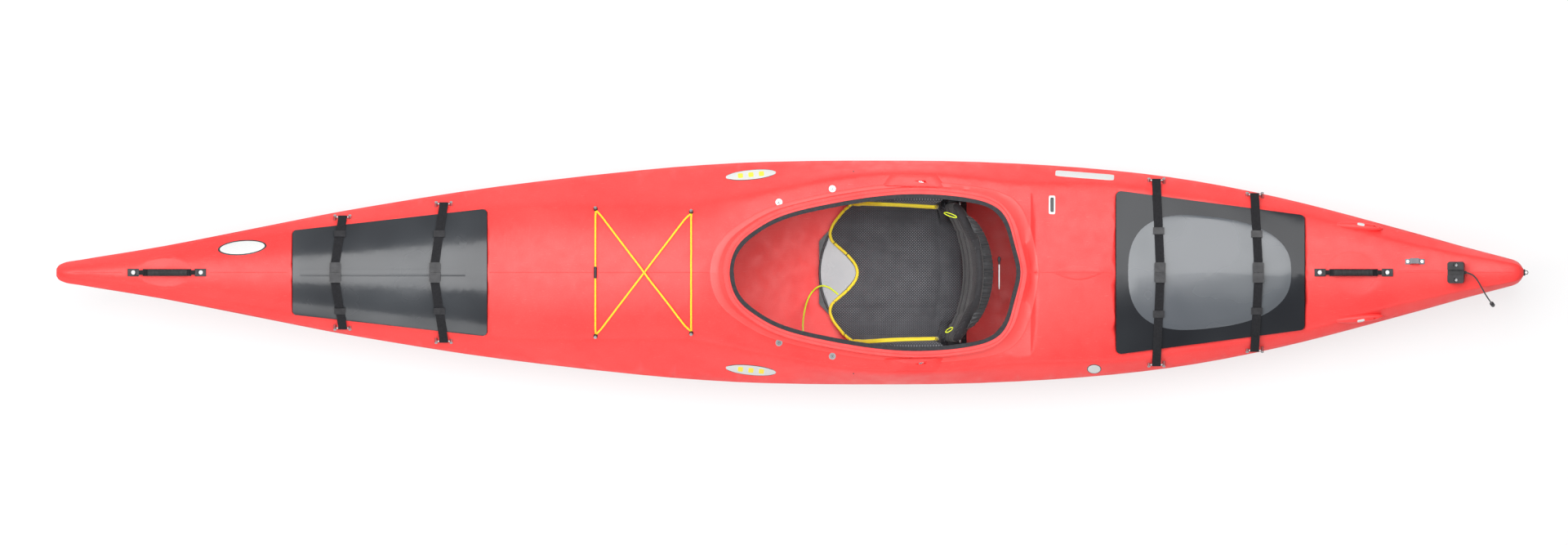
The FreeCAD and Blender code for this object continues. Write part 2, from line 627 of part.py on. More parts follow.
class Strap:
    """One half of a hatch strap: its anchor bar on the deck and its line over the lid."""

    def __init__(self, hatch, number, side):
        crossing, anchor, out = STRAPS[hatch.name][number]
        self.hatch, self.side, self.number = hatch, side, number
        self.name = "%s_strap_%d_%s" % (hatch.name, number + 1, "port" if side == PORT else "starboard")
        self.x, self.anchor_x, self.out = along(crossing), along(anchor), out
        normal = outer.normal_at(self.anchor_x, out)
        self.normal = Vector(0, side * normal.y, normal.z).normalize()
        foot = outer.deck_at(self.anchor_x, out)
        self.foot = Vector(foot.x, side * out, foot.z)
        self.ring = size("anchor_bar_d") / 2 + size("anchor_gap") + size("strap_thick")
        self.bar = self.foot + self.normal * (self.ring + BAR_OVER_DECK)
        self.out_bar = abs(self.bar.y)

    def place_at(self, y):
        """X of the webbing's middle at a distance from the centreline."""
        share = max(0, min(1, (self.out - y) / (self.out - size("buckle_half"))))
        return self.anchor_x + (self.x - self.anchor_x) * share

    def ends(self):
        half = Vector(size("anchor_bar_long") / 2 - size("anchor_foot_d") / 2, 0, 0)
        return [self.bar - half, self.bar + half]

    def spots(self):
        top = self.normal * (size("anchor_bar_d") / 2 + ANCHOR_CAP)
        return [(end + top, self.normal) for end in self.ends()]


BAR_OVER_DECK = 2.6
ANCHOR_CAP = 1
straps = [Strap(hatches[name], number, side)
          for name in STRAPS for number in (0, 1) for side in SIDES.values()]
anchor_spots = [spot for strap in straps for spot in strap.spots()]

BUNGEE_ANCHORS = ((36.77, 180), (43.29, 172))
bungee_spots = [spot for share, y in BUNGEE_ANCHORS for spot in both(along(share), y, on_deck(along(share), y))]
bungee_screw_spots = [(point + normal * size("bungee_anchor_high"), normal) for point, normal in bungee_spots]


class Fitting:
    """A fitting on the deck near the stern: X aft along the deck, Z out of it."""

    def __init__(self, share, y, half_span, head_height, along_boat):
        x = along(share)
        point, normal = outer.deck_at(x, y), outer.normal_at(x, y)
        aft = (outer.deck_at(x + 10, y) - outer.deck_at(x - 10, y)).normalize()
        self.frame = Placement(point, Rotation(aft, normal.cross(aft), normal, "ZXY"))
        across = aft if along_boat else normal.cross(aft)
        self.spots = [(point + across * (sign * half_span) + normal * head_height, normal) for sign in (-1, 1)]

    def set(self, shape):
        shape.Placement = self.frame
        return shape


bracket = Fitting(92.62, 31, 20.5, size("bracket_thick"), True)
park_block = Fitting(95.45, 0, 21.5, size("block_foot"), False)
stern_spots = bracket.spots + park_block.spots

# ------------------------------------------------------------------ rudder cable tubes
TUBE_EXIT = (89.35, 133, 219)
TUBE_INSIDE = (85.6, 147, 186)
TUBE_FRONT = (68.2, 262, 205)


def hull_point(share, y, z, side=STARBOARD):
    return Vector(along(share), side * y, z)


def tube_runs(side):
    return [hull_point(*spot, side) for spot in (TUBE_EXIT, TUBE_INSIDE, TUBE_FRONT)]


def tube_solid(side, diameter):
    a, b, c = tube_runs(side)
    return union([rod(a, b, diameter), Part.makeSphere(diameter / 2, b), rod(b, c, diameter)])


tube_blanks = [tube_solid(side, size("tube_od")) for side in SIDES.values()]

# ------------------------------------------------------------------ hull, rim trim and bulkheads
deck_holes = [hole(*spot, HOLE_SPARE) for spot in deck_spots + footrest_spots + anchor_spots + bungee_screw_spots
              + handles["bow"].spots + handles["stern"].spots + stern_spots]
rim_holes = [hole(*spot, HOLE_SPARE) for spot in rim_spots]
feature("hull_shell", build_shell(deck_holes + tube_blanks, rim_holes))

trim_in, trim_out = -size("lip_inner") - size("trim_side"), -size("lip_inner")
rim_space = egg_ring(trim_out, size("lip_reach"), 0, -size("lip_thick"))
below_rim = egg_ring(trim_out / 2, size("lip_reach"), -size("lip_thick") / 2, -2 * size("trim_depth"))
feature("cockpit_edge_trim",
        egg_ring(trim_in, 0, size("trim_top"), -size("trim_depth")).cut(rim_space).cut(below_rim))
for end in ("front", "rear"):
    slab = bound("Part::Box", "%s_slab" % end, Length="Sizes.bulkhead_thick", Width="Sizes.hull_beam * 2",
                 Height="Sizes.hull_depth * 2")
    slab.setExpression("Placement.Base.x", "Sizes.hull_length * (Sizes.%s_bulkhead_at / 100 - 0.5)"
                       " - (Sizes.socket_plate + Sizes.socket_od) / 2" % end)
    slab.setExpression("Placement.Base.y", "-Sizes.hull_beam")
    slab.setExpression("Placement.Base.z", "-Sizes.hull_depth / 2")
    doc.recompute()
    feature("%s_bulkhead" % end, liner.solid.common(slab.Shape).cut(tube_blanks))
screws("deck_screws", washer_screw, deck_spots)
screws("rim_screws", plain_screw, rim_spots)
screws("footrest_screws", plain_screw, footrest_spots)
bores = [tube_solid(side, size("tube_bore")) for side in SIDES.values()]
feature("rudder_cable_tubes", Part.makeCompound([tube.cut(bore) for tube, bore in zip(tube_blanks, bores)]))

# ------------------------------------------------------------------ hatch lids
LID_SEAT = 0.5
GASKET_GAP = 0.3
GASKET_INSET = 1


def lid(hatch):
    """A domed cover: the deck's shape over the seat, hollow underneath."""
    wall = size("lid_wall")
    hollow = Form(wall - hatch.rise, *LID_STATIONS[hatch.name])
    under = hollow.solid.common(hatch.above(-wall, -FAR))
    feature("%s_hatch_lid" % hatch.name,
            hatch.crown.solid.common(hatch.above(0, LID_SEAT + size("gasket_thick"))).cut(under))


def gasket(hatch):
    """A flat seal on the seat, under the lid's skirt."""
    inner_edge = -size("gasket_wide")
    ring = hatch.above(-GASKET_INSET, GASKET_GAP).cut(
        [hatch.above(inner_edge, -FAR / 10), hatch.above(size("lid_gap"), GASKET_GAP + size("gasket_thick"))])
    feature("%s_hatch_gasket" % hatch.name, ring)


for hatch in hatches.values():
    lid(hatch)
    gasket(hatch)

# ------------------------------------------------------------------ seat
SEAT_FORE, SEAT_AFT = 52.0, 62.05
SEAT_SIDE = ((52.0, 40), (53.6, 62), (55.2, 140), (57.0, 292), (60.5, 292), (61.2, 140), (62.05, 136))
SEAT_NOSE_HALF = 90
SEAT_FLARE_FROM = 54.9
CUSHION_SIDE = ((52.6, 60), (54.2, 80), (56.6, 210), (60.1, 210), (60.4, 60), (60.9, 60))
CUSHION_PLAN = ((52.7, 103), (54.5, 0), (52.7, -103), (53.5, -168), (54.7, -230), (60.9, -230),
                (60.9, 230), (54.7, 230), (53.5, 168))
PAD_FROM, PAD_TO = 57.03, 60.45
PAD_BOTTOM = 216
seat_floor = size("hull_wall") + size("seat_floor_gap")


def tub(depth):
    """The seat's bucket section, moved inwards by depth."""
    half, bottom = size("seat_half_width") - depth, seat_floor + depth
    section = [(-half, bottom), (half, bottom), (half, FAR), (-half, FAR)]
    return end_prism(section, size("seat_bend") - depth, along(SEAT_FORE) - 1, along(SEAT_AFT) + 1)


def under_line(points, radius):
    """Everything below a side-view line."""
    top = [(along(share), z) for share, z in points]
    return side_prism([(top[0][0], -FAR / 2)] + top + [(top[-1][0], -FAR / 2)], radius)


def seat_pan():
    nose, aft = along(SEAT_FORE), along(SEAT_AFT)
    flare, wide = along(SEAT_FLARE_FROM), size("seat_half_width") + size("seat_pan_wall")
    plan = [(nose, -SEAT_NOSE_HALF), (nose, SEAT_NOSE_HALF), (flare, wide), (aft, wide), (aft, -wide),
            (flare, -wide)]
    pan = tub(0).common(under_line(SEAT_SIDE, 8)).common(prism_up(rounded(plan, 12), 0, FAR))
    reach = size("neck_wall") + size("glue_gap")
    bosses = []
    for point, outwards in rim_spots[2:]:
        start = point - outwards * reach
        bosses.append(rod(start, start - outwards * size("boss_d"), size("boss_d")))
    pan = union([pan] + bosses).cut(tub(size("seat_pan_wall")))
    pins = [rod(Vector(hinge_x, side * FAR, hinge_z), Vector(hinge_x, 0, hinge_z), size("backrest_pin_d"))
            for side in SIDES.values()]
    feature("seat_pan", pan.cut(rim_holes + pins))


def seat_soft():
    wall, gap, thick = size("seat_pan_wall"), size("soft_gap"), size("cushion_thick")
    plan = [(along(share), y) for share, y in CUSHION_PLAN]
    cushion = tub(wall + gap).cut(tub(wall + gap + thick)).common(under_line(CUSHION_SIDE, 4))
    feature("seat_cushion", cushion.common(prism_up(rounded(plan, 10), 0, FAR)))
    outside = size("seat_half_width") - wall - gap
    pad = [(outside - size("hip_pad_thick"), PAD_BOTTOM), (outside, PAD_BOTTOM),
           (outside, PAD_BOTTOM + size("hip_pad_high")),
           (outside - size("hip_pad_thick"), PAD_BOTTOM + size("hip_pad_high"))]
    feature("hip_pads", pair(end_prism(pad, 5, along(PAD_FROM), along(PAD_TO))))


# ------------------------------------------------------------------ backrest
HINGE_SHARE = 61.6
HINGE_HEIGHT = 118
hinge_x, hinge_z = along(HINGE_SHARE), HINGE_HEIGHT
BACKREST_FACE = 61.85
BAND = (40, 100, 268, 298)
ARM = (-36, 12, 30, 12)
SHOULDER_DROP = 25
NECK_SHARE, CROWN_SHARE = 0.72, 0.42
PAD_CORNER = 12
ROD_PORT_SHARE = 0.66
PIN_KNOB_SHARE = 1.8
RUNNING_GAP = 0.5
PIN_CLEAR = 0.1


def backrest():
    """A curved pad leaning back on two pins, with a gathered band and a toggle behind it."""
    half, sag, thick = size("backrest_half_width"), size("backrest_sag"), size("backrest_thick")
    radius = (half ** 2 + sag ** 2) / (2 * sag)
    face = along(BACKREST_FACE)
    low, high, shoulder = size("backrest_bottom"), size("backrest_top"), size("backrest_shoulder")
    centre = Vector(face - radius, 0, 0)
    ring = Part.makeCylinder(radius + thick, FAR, centre).cut(Part.makeCylinder(radius, FAR, centre))
    edge_high, neck, crown = shoulder - SHOULDER_DROP, half * NECK_SHARE, half * CROWN_SHARE
    right = [(half, low), (half, edge_high), (neck, shoulder), (crown, high)]
    front_view = right + [(-y, z) for y, z in right[::-1]]
    pad = ring.common(end_prism(front_view, PAD_CORNER, face - sag - thick, face + 2 * thick))
    long, wide, bottom, top = BAND
    back = face + thick
    band = side_prism([(back - thick / 2, bottom), (back + long, bottom), (back + long, top),
                       (back - thick / 2, top)], 8)
    band = band.common(Part.makeBox(2 * thick + long, 2 * wide, FAR, Vector(face, -wide, 0)))
    band = band.cut(Part.makeCylinder(radius + thick, FAR, centre))
    rod_d, knob_d = size("toggle_rod_d"), size("toggle_knob_d")
    at = Vector(back + long + rod_d / 2, 0, (bottom + top) / 2)
    port_end = at - Vector(0, size("toggle_rod_long") * ROD_PORT_SHARE, 0)
    ends = [port_end, port_end + Vector(0, size("toggle_rod_long"), 0)]
    knob_end = ends[1] + Vector(0, size("toggle_knob_long"), 0)
    toggle = rod(*ends, rod_d).fuse(rod(ends[1], knob_end, knob_d).cut(band))
    toggle = toggle.cut(band)
    lean = (Vector(hinge_x, 0, hinge_z), Vector(0, 1, 0), size("backrest_lean"))
    fore, aft, wide_arm, high_arm = ARM
    arms = []
    for side in SIDES.values():
        y = side * (size("seat_half_width") - size("seat_pan_wall") - RUNNING_GAP - wide_arm / 2)
        arm = Part.makeBox(aft - fore, wide_arm, 2 * high_arm,
                           Vector(hinge_x + fore, y - wide_arm / 2, hinge_z - high_arm))
        arms.append(arm)
    for shape in (pad, band, toggle):
        shape.rotate(*lean)
    outside = size("seat_half_width")
    pin_end = outside - size("seat_pan_wall") - size("backrest_pin_reach")
    bores = [rod(Vector(hinge_x, side * (pin_end - RUNNING_GAP), hinge_z), Vector(hinge_x, side * FAR, hinge_z),
                 size("backrest_pin_d") + 2 * PIN_CLEAR) for side in SIDES.values()]
    feature("backrest_pad", union([pad] + arms).cut(bores))
    feature("backrest_band", band)
    feature("backrest_toggle", toggle)
    pin = rod(Vector(hinge_x, outside, hinge_z), Vector(hinge_x, pin_end, hinge_z), size("backrest_pin_d"))
    knob = rod(Vector(hinge_x, outside, hinge_z), Vector(hinge_x, outside + size("backrest_pin_head"), hinge_z),
               size("backrest_pin_d") * PIN_KNOB_SHARE)
    feature("backrest_pins", pair(pin.fuse(knob)))


seat_pan()
seat_soft()
backrest()

# ------------------------------------------------------------------ thigh braces
BRACE_PLAN = ((48.2, 105), (52.9, 140), (53.6, 215), (53.3, 262), (49.4, 228), (48.2, 180))
BRACE_DEPTH = 32
BRACE_TAB_HALF = 24


def thigh_braces():
    """Plates under the deck beside the cockpit, on bosses at the deck screws and tabs at the rim screws."""
    thick, gap = size("brace_thick"), size("glue_gap")
    plate = Form(BRACE_DEPTH, 41, 63).solid.cut(Form(BRACE_DEPTH + thick, 41, 63).solid)
    plan = rounded([(along(share), y) for share, y in BRACE_PLAN], 12)
    plate = plate.common(prism_up(plan, height(50), FAR)).cut(prism_up(egg(-size("lip_inner")), 0, FAR))
    under_deck = size("hull_wall") + gap
    bosses = [rod(point - normal * under_deck, point - normal * (BRACE_DEPTH + thick / 2), size("boss_d"))
              for point, normal in deck_spots[0:4:2]]
    point, outwards = rim_spots[0]
    wall = prism_up(egg(-gap), 0, FAR).cut(prism_up(egg(-size("lip_inner")), 0, FAR))
    tab = wall.common(Part.makeBox(2 * BRACE_TAB_HALF, FAR, 2 * FAR, Vector(point.x - BRACE_TAB_HALF, 0, -FAR)))
    low = (outer.deck_at(point.x, point.y).z - BRACE_DEPTH - thick)
    tab = tab.common(Part.makeBox(FAR, FAR, point.z + size("screw_head_d") / 2 - low, Vector(point.x - FAR / 2, 0, low)))
    feature("thigh_braces", pair(union([plate, tab] + bosses).cut(deck_holes + rim_holes)))


thigh_braces()

# ------------------------------------------------------------------ footrests
RAIL_FROM = 31.3
RAIL_CLEAR = 1
HOUSING = 4
PEDAL_OUTLINE = ((-2, -17), (-2, 17), (-34, 66), (-84, 66), (-84, -30), (-34, -30))


class Rail:
    """A footrest rail's frame: X along the rail, Y outboard, Z up."""

    def __init__(self, side):
        low = size("footrest_height") - size("rail_high")
        fore = along(RAIL_FROM)
        aft = fore + size("rail_long")
        ends = [Vector(x, inner.side_at(x, low) - RAIL_CLEAR, size("footrest_height")) for x in (fore, aft)]
        run = (ends[1] - ends[0]).normalize()
        self.side = side
        self.start, self.run = ends[0], run
        self.place = Placement(ends[0], Rotation(run, UP.cross(run), UP, "XZY"))

    def set(self, shape):
        shape.Placement = self.place
        return shape if self.side == STARBOARD else shape.mirror(Vector(), Vector(0, 1, 0))


def block(x, y, z):
    """A box from three (low, high) ranges."""
    return Part.makeBox(x[1] - x[0], y[1] - y[0], z[1] - z[0], Vector(x[0], y[0], z[0]))


def rail_section(length, grow):
    """A tee-shaped bar, or the channel round one."""
    half, thick, lip = size("rail_high") / 2 + grow, size("rail_thick"), size("rail_lip")
    head = block((0, length), (-thick - grow, -thick / 2 + grow), (-half, half))
    return head.fuse(block((0, length), (-thick / 2 - 1, 0), (-half + lip, half - lip)))


def footrest_rail():
    rail = Rail(STARBOARD)
    bar = rail.set(rail_section(size("rail_long"), 0))
    bosses = [rod(point, point - direction * 3 * size("hull_wall"), size("boss_d"))
              for point, direction in footrest_spots[::2]]
    keep = rail.set(block((0, size("rail_long")), (-1, 10 * RAIL_CLEAR), (-size("boss_d"), size("boss_d"))))
    bosses = [boss.common(liner.solid).common(keep) for boss in bosses]
    feature("footrest_rails", pair(union([bar] + bosses).cut(deck_holes)))


def pedal(side_name, side):
    rail, gap = Rail(side), size("pedal_gap")
    start = (size("rail_long") - size("pedal_long")) / 2
    half, thick = size("rail_high") / 2 + gap + HOUSING, size("rail_thick")
    housing = block((start, start + size("pedal_long")), (-thick - gap - HOUSING, -RAIL_CLEAR), (-half, half))
    housing = housing.cut(rail_section(size("rail_long"), gap))
    inboard = -thick - gap - HOUSING
    wire = rounded([(inboard + 2 + y, z) for y, z in PEDAL_OUTLINE], 9)
    wire.Placement = Placement(Vector(start + size("pedal_long") / 2, 0, 0),
                               Rotation(Vector(0, 1, 0), UP, Vector(1, 0, 0), "ZXY"))
    plate = Part.Face(wire).extrude(Vector(size("pedal_thick"), 0, 0))
    plate = plate.cut(block((0, size("rail_long")), (inboard + HOUSING / 2, FAR), (-FAR, FAR)))
    feature("footrest_pedal_%s" % side_name, rail.set(union([housing, plate])))


footrest_rail()
for side_name, side in SIDES.items():
    pedal(side_name, side)


# ------------------------------------------------------------------ bent tubes
TANGENT_SHARE = 0.45


def bent_path(points):
    """Straight runs joined by tangent arcs, each as large as its two runs allow."""
    edges, at = [], points[0]
    for before, here, after in zip(points, points[1:], points[2:]):
        to_before, to_after = (before - here), (after - here)
        reach = TANGENT_SHARE * min(to_before.Length, to_after.Length)
        to_before.normalize()
        to_after.normalize()
        half = to_before.getAngle(to_after) / 2
        radius = reach * math.tan(half)
        start, end = here + to_before * reach, here + to_after * reach
        middle = here + (to_before + to_after).normalize() * (radius / math.sin(half) - radius)
        edges += [Part.LineSegment(at, start), Part.Arc(start, middle, end)]
        at = end
    edges.append(Part.LineSegment(at, points[-1]))
    return Part.Wire([edge.toShape() for edge in edges])


def tube(points, diameter):
    """A round cord along a bent path."""
    path = bent_path(points)
    circle = Part.Wire(Part.Circle(points[0], points[1] - points[0], diameter / 2).toShape())
    return path.makePipeShell([circle], True, False)


# ------------------------------------------------------------------ hatch straps
SLIDERS = {"front": (110, 110), "rear": (119, 110)}
WEB_SLOT = 0.4
SLIDER_CHEEK = 1.4
SLIDER_SOLE = 0.6
BUCKLE_GAP = 0.25


def anchor_bars():
    bars = []
    for strap in straps:
        fore, aft = strap.ends()
        bar = rod(fore, aft, size("anchor_bar_d"))
        top = strap.normal * (size("anchor_bar_d") / 2 + ANCHOR_CAP)
        feet = [rod(end + top, end - strap.normal * 3 * strap.ring, size("anchor_foot_d")) for end in (fore, aft)]
        holes = [hole(*spot, HOLE_SPARE) for spot in strap.spots()]
        bars.append(union([bar] + feet).cut([outer.solid] + holes))
    feature("strap_anchor_bars", Part.makeCompound(bars))


def webbing_line(strap):
    """Centre of the webbing in section, pulled tight over the lid and the deck's edge, as (y, z) on one side."""
    hatch, lift, place = strap.hatch, size("strap_lift") + size("strap_thick") / 2, strap.place_at
    inner_end = size("buckle_half") + BUCKLE_GAP + WEB_SLOT
    edge = hatch.half_at(place(strap.out))
    line = [(inner_end, hatch.crown.deck_at(strap.x, 0).z + size("strap_lift") + size("buckle_thick") / 2)]
    y = inner_end + 2 * WEB_STEP
    while y < edge - WEB_STEP / 2:
        line.append((y, hatch.crown.deck_at(place(y), y).z + lift))
        y += WEB_STEP
    line.append((edge + CORNER_CLEAR, hatch.crown.deck_at(place(edge), edge).z + lift + CORNER_CLEAR))
    y = edge + WEB_STEP
    while y < strap.out - 2 * strap.ring:
        line.append((y, outer.deck_at(place(y), y).z + lift))
        y += WEB_STEP
    line.append((strap.out, strap.bar.z))
    taut = []
    for point in line:
        while len(taut) > 1 and bends_up(taut[-2], taut[-1], point):
            taut.pop()
        taut.append(point)
    return taut[-2::-1]


def bends_up(a, b, c):
    return (b[0] - a[0]) * (c[1] - a[1]) >= (b[1] - a[1]) * (c[0] - a[0])


WEB_STEP = 17
CORNER_CLEAR = 1.6


def webbing(strap):
    """Flat webbing sewn round its anchor bar, slanting along the boat as it crosses the lid."""
    line = webbing_line(strap)
    radius = strap.ring - size("strap_thick") / 2
    bar = Vector(0, strap.out_bar, strap.bar.z)
    to_corner = Vector(0, *line[0]) - bar
    turn = math.degrees(math.acos(radius / to_corner.Length))
    touch = bar + Rotation(Vector(1, 0, 0), -turn).multVec(to_corner).normalize() * radius
    line = [(touch.y, touch.z)] + line
    above, below = offset_line(line, size("strap_thick") / 2), offset_line(line, -size("strap_thick") / 2)
    slant = (strap.x - strap.anchor_x) / (strap.out - size("buckle_half"))
    start = strap.anchor_x - size("strap_wide") / 2
    corners = [Vector(start + slant * (strap.out - y), y, z) for y, z in above + below[::-1]]
    band = Part.Face(Part.makePolygon(corners + corners[:1])).extrude(Vector(size("strap_wide"), 0, 0))
    half = Vector(size("strap_wide") / 2, 0, 0)
    at = bar + Vector(strap.anchor_x, 0, 0)
    loop = rod(at - half, at + half, 2 * strap.ring).fuse(band)
    loop = loop.cut(rod(at - half * 2, at + half * 2, size("anchor_bar_d") + 2 * size("anchor_gap")))
    return loop if strap.side == STARBOARD else loop.mirror(Vector(), Vector(0, 1, 0))


def offset_line(line, by):
    """A (y, z) line moved sideways, with its corners mitred."""
    moved = []
    for i, here in enumerate(line):
        before, after = line[max(0, i - 1)], line[min(len(line) - 1, i + 1)]
        sides = []
        for a, b in ((before, here), (here, after)):
            dy, dz = b[0] - a[0], b[1] - a[1]
            run = math.hypot(dy, dz)
            if run:
                sides.append((dz / run, -dy / run))
        y, z = (sum(side[k] for side in sides) for k in (0, 1))
        grow = by * len(sides) / (y * y + z * z)
        moved.append((here[0] + grow * y, here[1] + grow * z))
    return moved


def webbing_at(strap, y):
    """The point of the webbing's centre line at a distance from the boat's."""
    line = webbing_line(strap)
    for (y1, z1), (y0, z0) in zip(line, line[1:]):
        if y0 <= y <= y1:
            return Vector(0, y, z0 + (z1 - z0) * (y - y0) / (y1 - y0))
    return Vector(0, *line[0])


def slider(strap):
    """A three-bar slider round the webbing."""
    at, reach = SLIDERS[strap.hatch.name][strap.number], size("slider_long") / 2
    outer_end, inner_end = (webbing_at(strap, y) for y in (at + reach, at - reach))
    run = outer_end - inner_end
    z = (outer_end.z + inner_end.z) / 2
    long, thick, wide = size("slider_long"), size("slider_thick"), size("buckle_wide")
    low = size("strap_thick") / 2 + WEB_SLOT + SLIDER_SOLE
    frame = block((-wide / 2, wide / 2), (-long / 2, long / 2), (-low, thick - low))
    slot_wide, slot_high = wide / 2 - SLIDER_CHEEK, size("strap_thick") / 2 + WEB_SLOT
    frame = frame.cut(block((-slot_wide, slot_wide), (-long, long), (-slot_high, slot_high)))
    frame.Placement = Placement(Vector(strap.place_at(at), at, z), Rotation(Vector(0, 1, 0), run))
    return frame if strap.side == STARBOARD else frame.mirror(Vector(), Vector(0, 1, 0))


def buckle(strap):
    """Half a side-release buckle, lying across the middle of the lid: a socket to port, prongs to starboard."""
    half_wide, thick, wall = size("buckle_wide") / 2, size("buckle_thick"), size("buckle_wall")
    near, far = BUCKLE_GAP, BUCKLE_GAP + size("buckle_half")
    bottom = strap.hatch.crown.deck_at(strap.x, 0).z + size("strap_lift")
    reach, clear = size("prong_reach"), size("prong_clear")
    if strap.side == PORT:
        shell = block((-half_wide, half_wide), (-far, -near), (0, thick))
        pocket = block((wall - half_wide, half_wide - wall), (-near - reach - 2 * clear, 0), (wall, thick - wall))
        windows = block((-2 * half_wide, 2 * half_wide), (-near - reach, -near - reach / 2), (wall, thick - wall))
        body = shell.cut([pocket, windows])
    else:
        body = block((-half_wide, half_wide), (near, far), (0, thick - wall))
        prong = size("prong_wide")
        for x in (-half_wide + wall + clear, -prong / 2, half_wide - wall - clear - prong):
            low = wall + clear
            body = body.fuse(block((x, x + prong), (-reach, far / 2), (low, low + size("prong_thick"))))
    edges = [e for e in body.Edges if abs(e.tangentAt(e.FirstParameter).z) > 0.9
             and abs(abs(e.CenterOfMass.x) - half_wide) < wall / 4 and abs(abs(e.CenterOfMass.y) - far) < wall / 4]
    body = body.makeFillet(2 * wall, edges)
    body.translate(Vector(strap.x, 0, bottom))
    return body


anchor_bars()
screws("strap_anchor_screws", plain_screw, anchor_spots)
for strap in straps:
    feature(strap.name + "_webbing", webbing(strap))
    feature(strap.name + "_buckle", Part.makeCompound([buckle(strap), slider(strap)]))

# ------------------------------------------------------------------ carry handles
PIN_HEIGHT = 10
PIN_D = 5
PIN_LONG = 10
LUG = (8, 16, 8)
EYE_SPARE = 1
GRIP_CORNER = 3


def end_plates():
    plates = []
    for handle in handles.values():
        for sign in (-1, 1):
            at = sign * size("handle_span") / 2
            long, wide, thick = (size("handle_plate_%s" % word) for word in ("long", "wide", "thick"))
            plate = block((at - long / 2, at + long / 2), (-wide / 2, wide / 2), (-2 * thick, thick))
            inboard = at - sign * long / 2
            lug = block(sorted((inboard, inboard + sign * LUG[0])), (-LUG[1] / 2, LUG[1] / 2),
                        (0, PIN_HEIGHT + PIN_D))
            pin = rod(Vector(inboard, 0, PIN_HEIGHT), Vector(inboard - sign * PIN_LONG, 0, PIN_HEIGHT), PIN_D)
            piece = union([plate, lug, pin])
            piece.Placement = handle.frame
            plates.append(piece.cut([outer.solid] + [hole(*spot, HOLE_SPARE) for spot in handle.spots]))
    feature("handle_end_plates", Part.makeCompound(plates))


def handle_strap(end, handle):
    """Webbing from pin to pin that lifts to the grip's height."""
    wide, thick = size("handle_strap_wide"), size("handle_strap_thick")
    eye_d, gap = size("handle_eye_d"), size("handle_gap")
    pin_at = size("handle_span") / 2 - size("handle_plate_long") / 2
    grip_end = size("handle_grip_long") / 2
    grip_z = size("handle_rise") - size("handle_grip_d") / 2
    parts = []
    for sign in (-1, 1):
        outer_x, inner_x = sign * (pin_at - gap), sign * (pin_at - PIN_LONG - EYE_SPARE)
        eye = rod(Vector(outer_x, 0, PIN_HEIGHT), Vector(inner_x - sign * thick, 0, PIN_HEIGHT), eye_d + PIN_D)
        eye = eye.cut(rod(Vector(outer_x, 0, PIN_HEIGHT), Vector(inner_x, 0, PIN_HEIGHT), PIN_D + 2 * gap))
        low, high = PIN_HEIGHT - thick / 2, grip_z - thick / 2
        outline = [(inner_x, low), (sign * (grip_end - gap), high), (sign * (grip_end - gap), high + thick),
                   (inner_x, low + thick)]
        corners = [Vector(x, -wide / 2, z) for x, z in outline]
        tongue = Part.Face(Part.makePolygon(corners + corners[:1])).extrude(Vector(0, wide, 0))
        parts.append(eye.fuse(tongue))
    core = block((-grip_end, grip_end), (-wide / 2, wide / 2), (grip_z - thick / 2, grip_z + thick / 2))
    shape = union(parts + [core])
    shape.Placement = handle.frame
    feature("%s_handle_strap" % end, shape)
    grip = rod(Vector(-grip_end, 0, grip_z), Vector(grip_end, 0, grip_z), size("handle_grip_d"))
    grip = grip.makeFillet(GRIP_CORNER, [e for e in grip.Edges if len(e.Vertexes) == 1])
    slot = block((-2 * grip_end, 2 * grip_end), (-wide / 2 - gap / 2, wide / 2 + gap / 2),
                 (grip_z - thick / 2 - gap / 2, grip_z + thick / 2 + gap / 2))
    grip = grip.cut(slot)
    grip.Placement = handle.frame
    feature("%s_handle_grip" % end, grip)


end_plates()
screws("handle_screws", plain_screw, handles["bow"].spots + handles["stern"].spots)
for end, handle in handles.items():
    handle_strap(end, handle)

# ------------------------------------------------------------------ deck bungee
CORD_LIFT = 1.8
BUTTON_SUNK = 4
CROSS_LIFT = 9.5
anchor_high = size("bungee_anchor_high")
bungee_buttons = [rod(point - normal * BUTTON_SUNK, point + normal * anchor_high, size("bungee_anchor_d"))
                  for point, normal in bungee_spots]


def deck_run(start, end, shares, lifts):
    """Points of a cord over the deck, between two places on the plan."""
    points = []
    for share, raise_by in zip(shares, lifts):
        x, y = (a + share * (b - a) for a, b in zip(start, end))
        points.append(outer.deck_at(x, y) + outer.normal_at(x, y) * (size("bungee_d") / 2 + raise_by))
    return points


def bungee():
    (front, wide), (rear, narrow) = [(along(share), y) for share, y in BUNGEE_ANCHORS]
    shares = [i / BUNGEE_RUNS for i in range(BUNGEE_RUNS + 1)]
    crossing = [CORD_LIFT + CROSS_LIFT * max(0, 1 - 4 * abs(share - 0.5)) for share in shares]
    level = [CORD_LIFT] * len(shares)
    front_lifts = [CORD_LIFT + size("sleeve_d") / 2 * max(0, 1 - 2 * abs(share - 0.5)) for share in shares]
    runs = [deck_run((front, -wide), (front, wide), shares, front_lifts),
            deck_run((rear, -narrow), (rear, narrow), shares, level),
            deck_run((front, -wide), (rear, narrow), shares, level),
            deck_run((front, wide), (rear, -narrow), shares, crossing)]
    cord = union([tube(run, size("bungee_d")) for run in runs])
    feature("deck_bungee", cord.cut(bungee_buttons))
    middle = BUNGEE_RUNS // 2
    start, end = runs[0][middle], runs[0][middle + 1]
    run = (end - start) * ((1 - SLEEVE_SHARE) / 2)
    sleeve = rod(start + run, end - run, size("sleeve_d"))
    bore = rod(start, end, size("bungee_d") + 2 * size("bungee_gap"))
    feature("bungee_sleeve", sleeve.cut(bore))


BUNGEE_RUNS = 9
SLEEVE_SHARE = 0.8
bungee()
feature("bungee_anchors", Part.makeCompound([button.cut([outer.solid, hole(*spot, HOLE_SPARE)]) for button, spot
                                             in zip(bungee_buttons, bungee_screw_spots)]))
screws("bungee_anchor_screws", plain_screw, bungee_screw_spots)

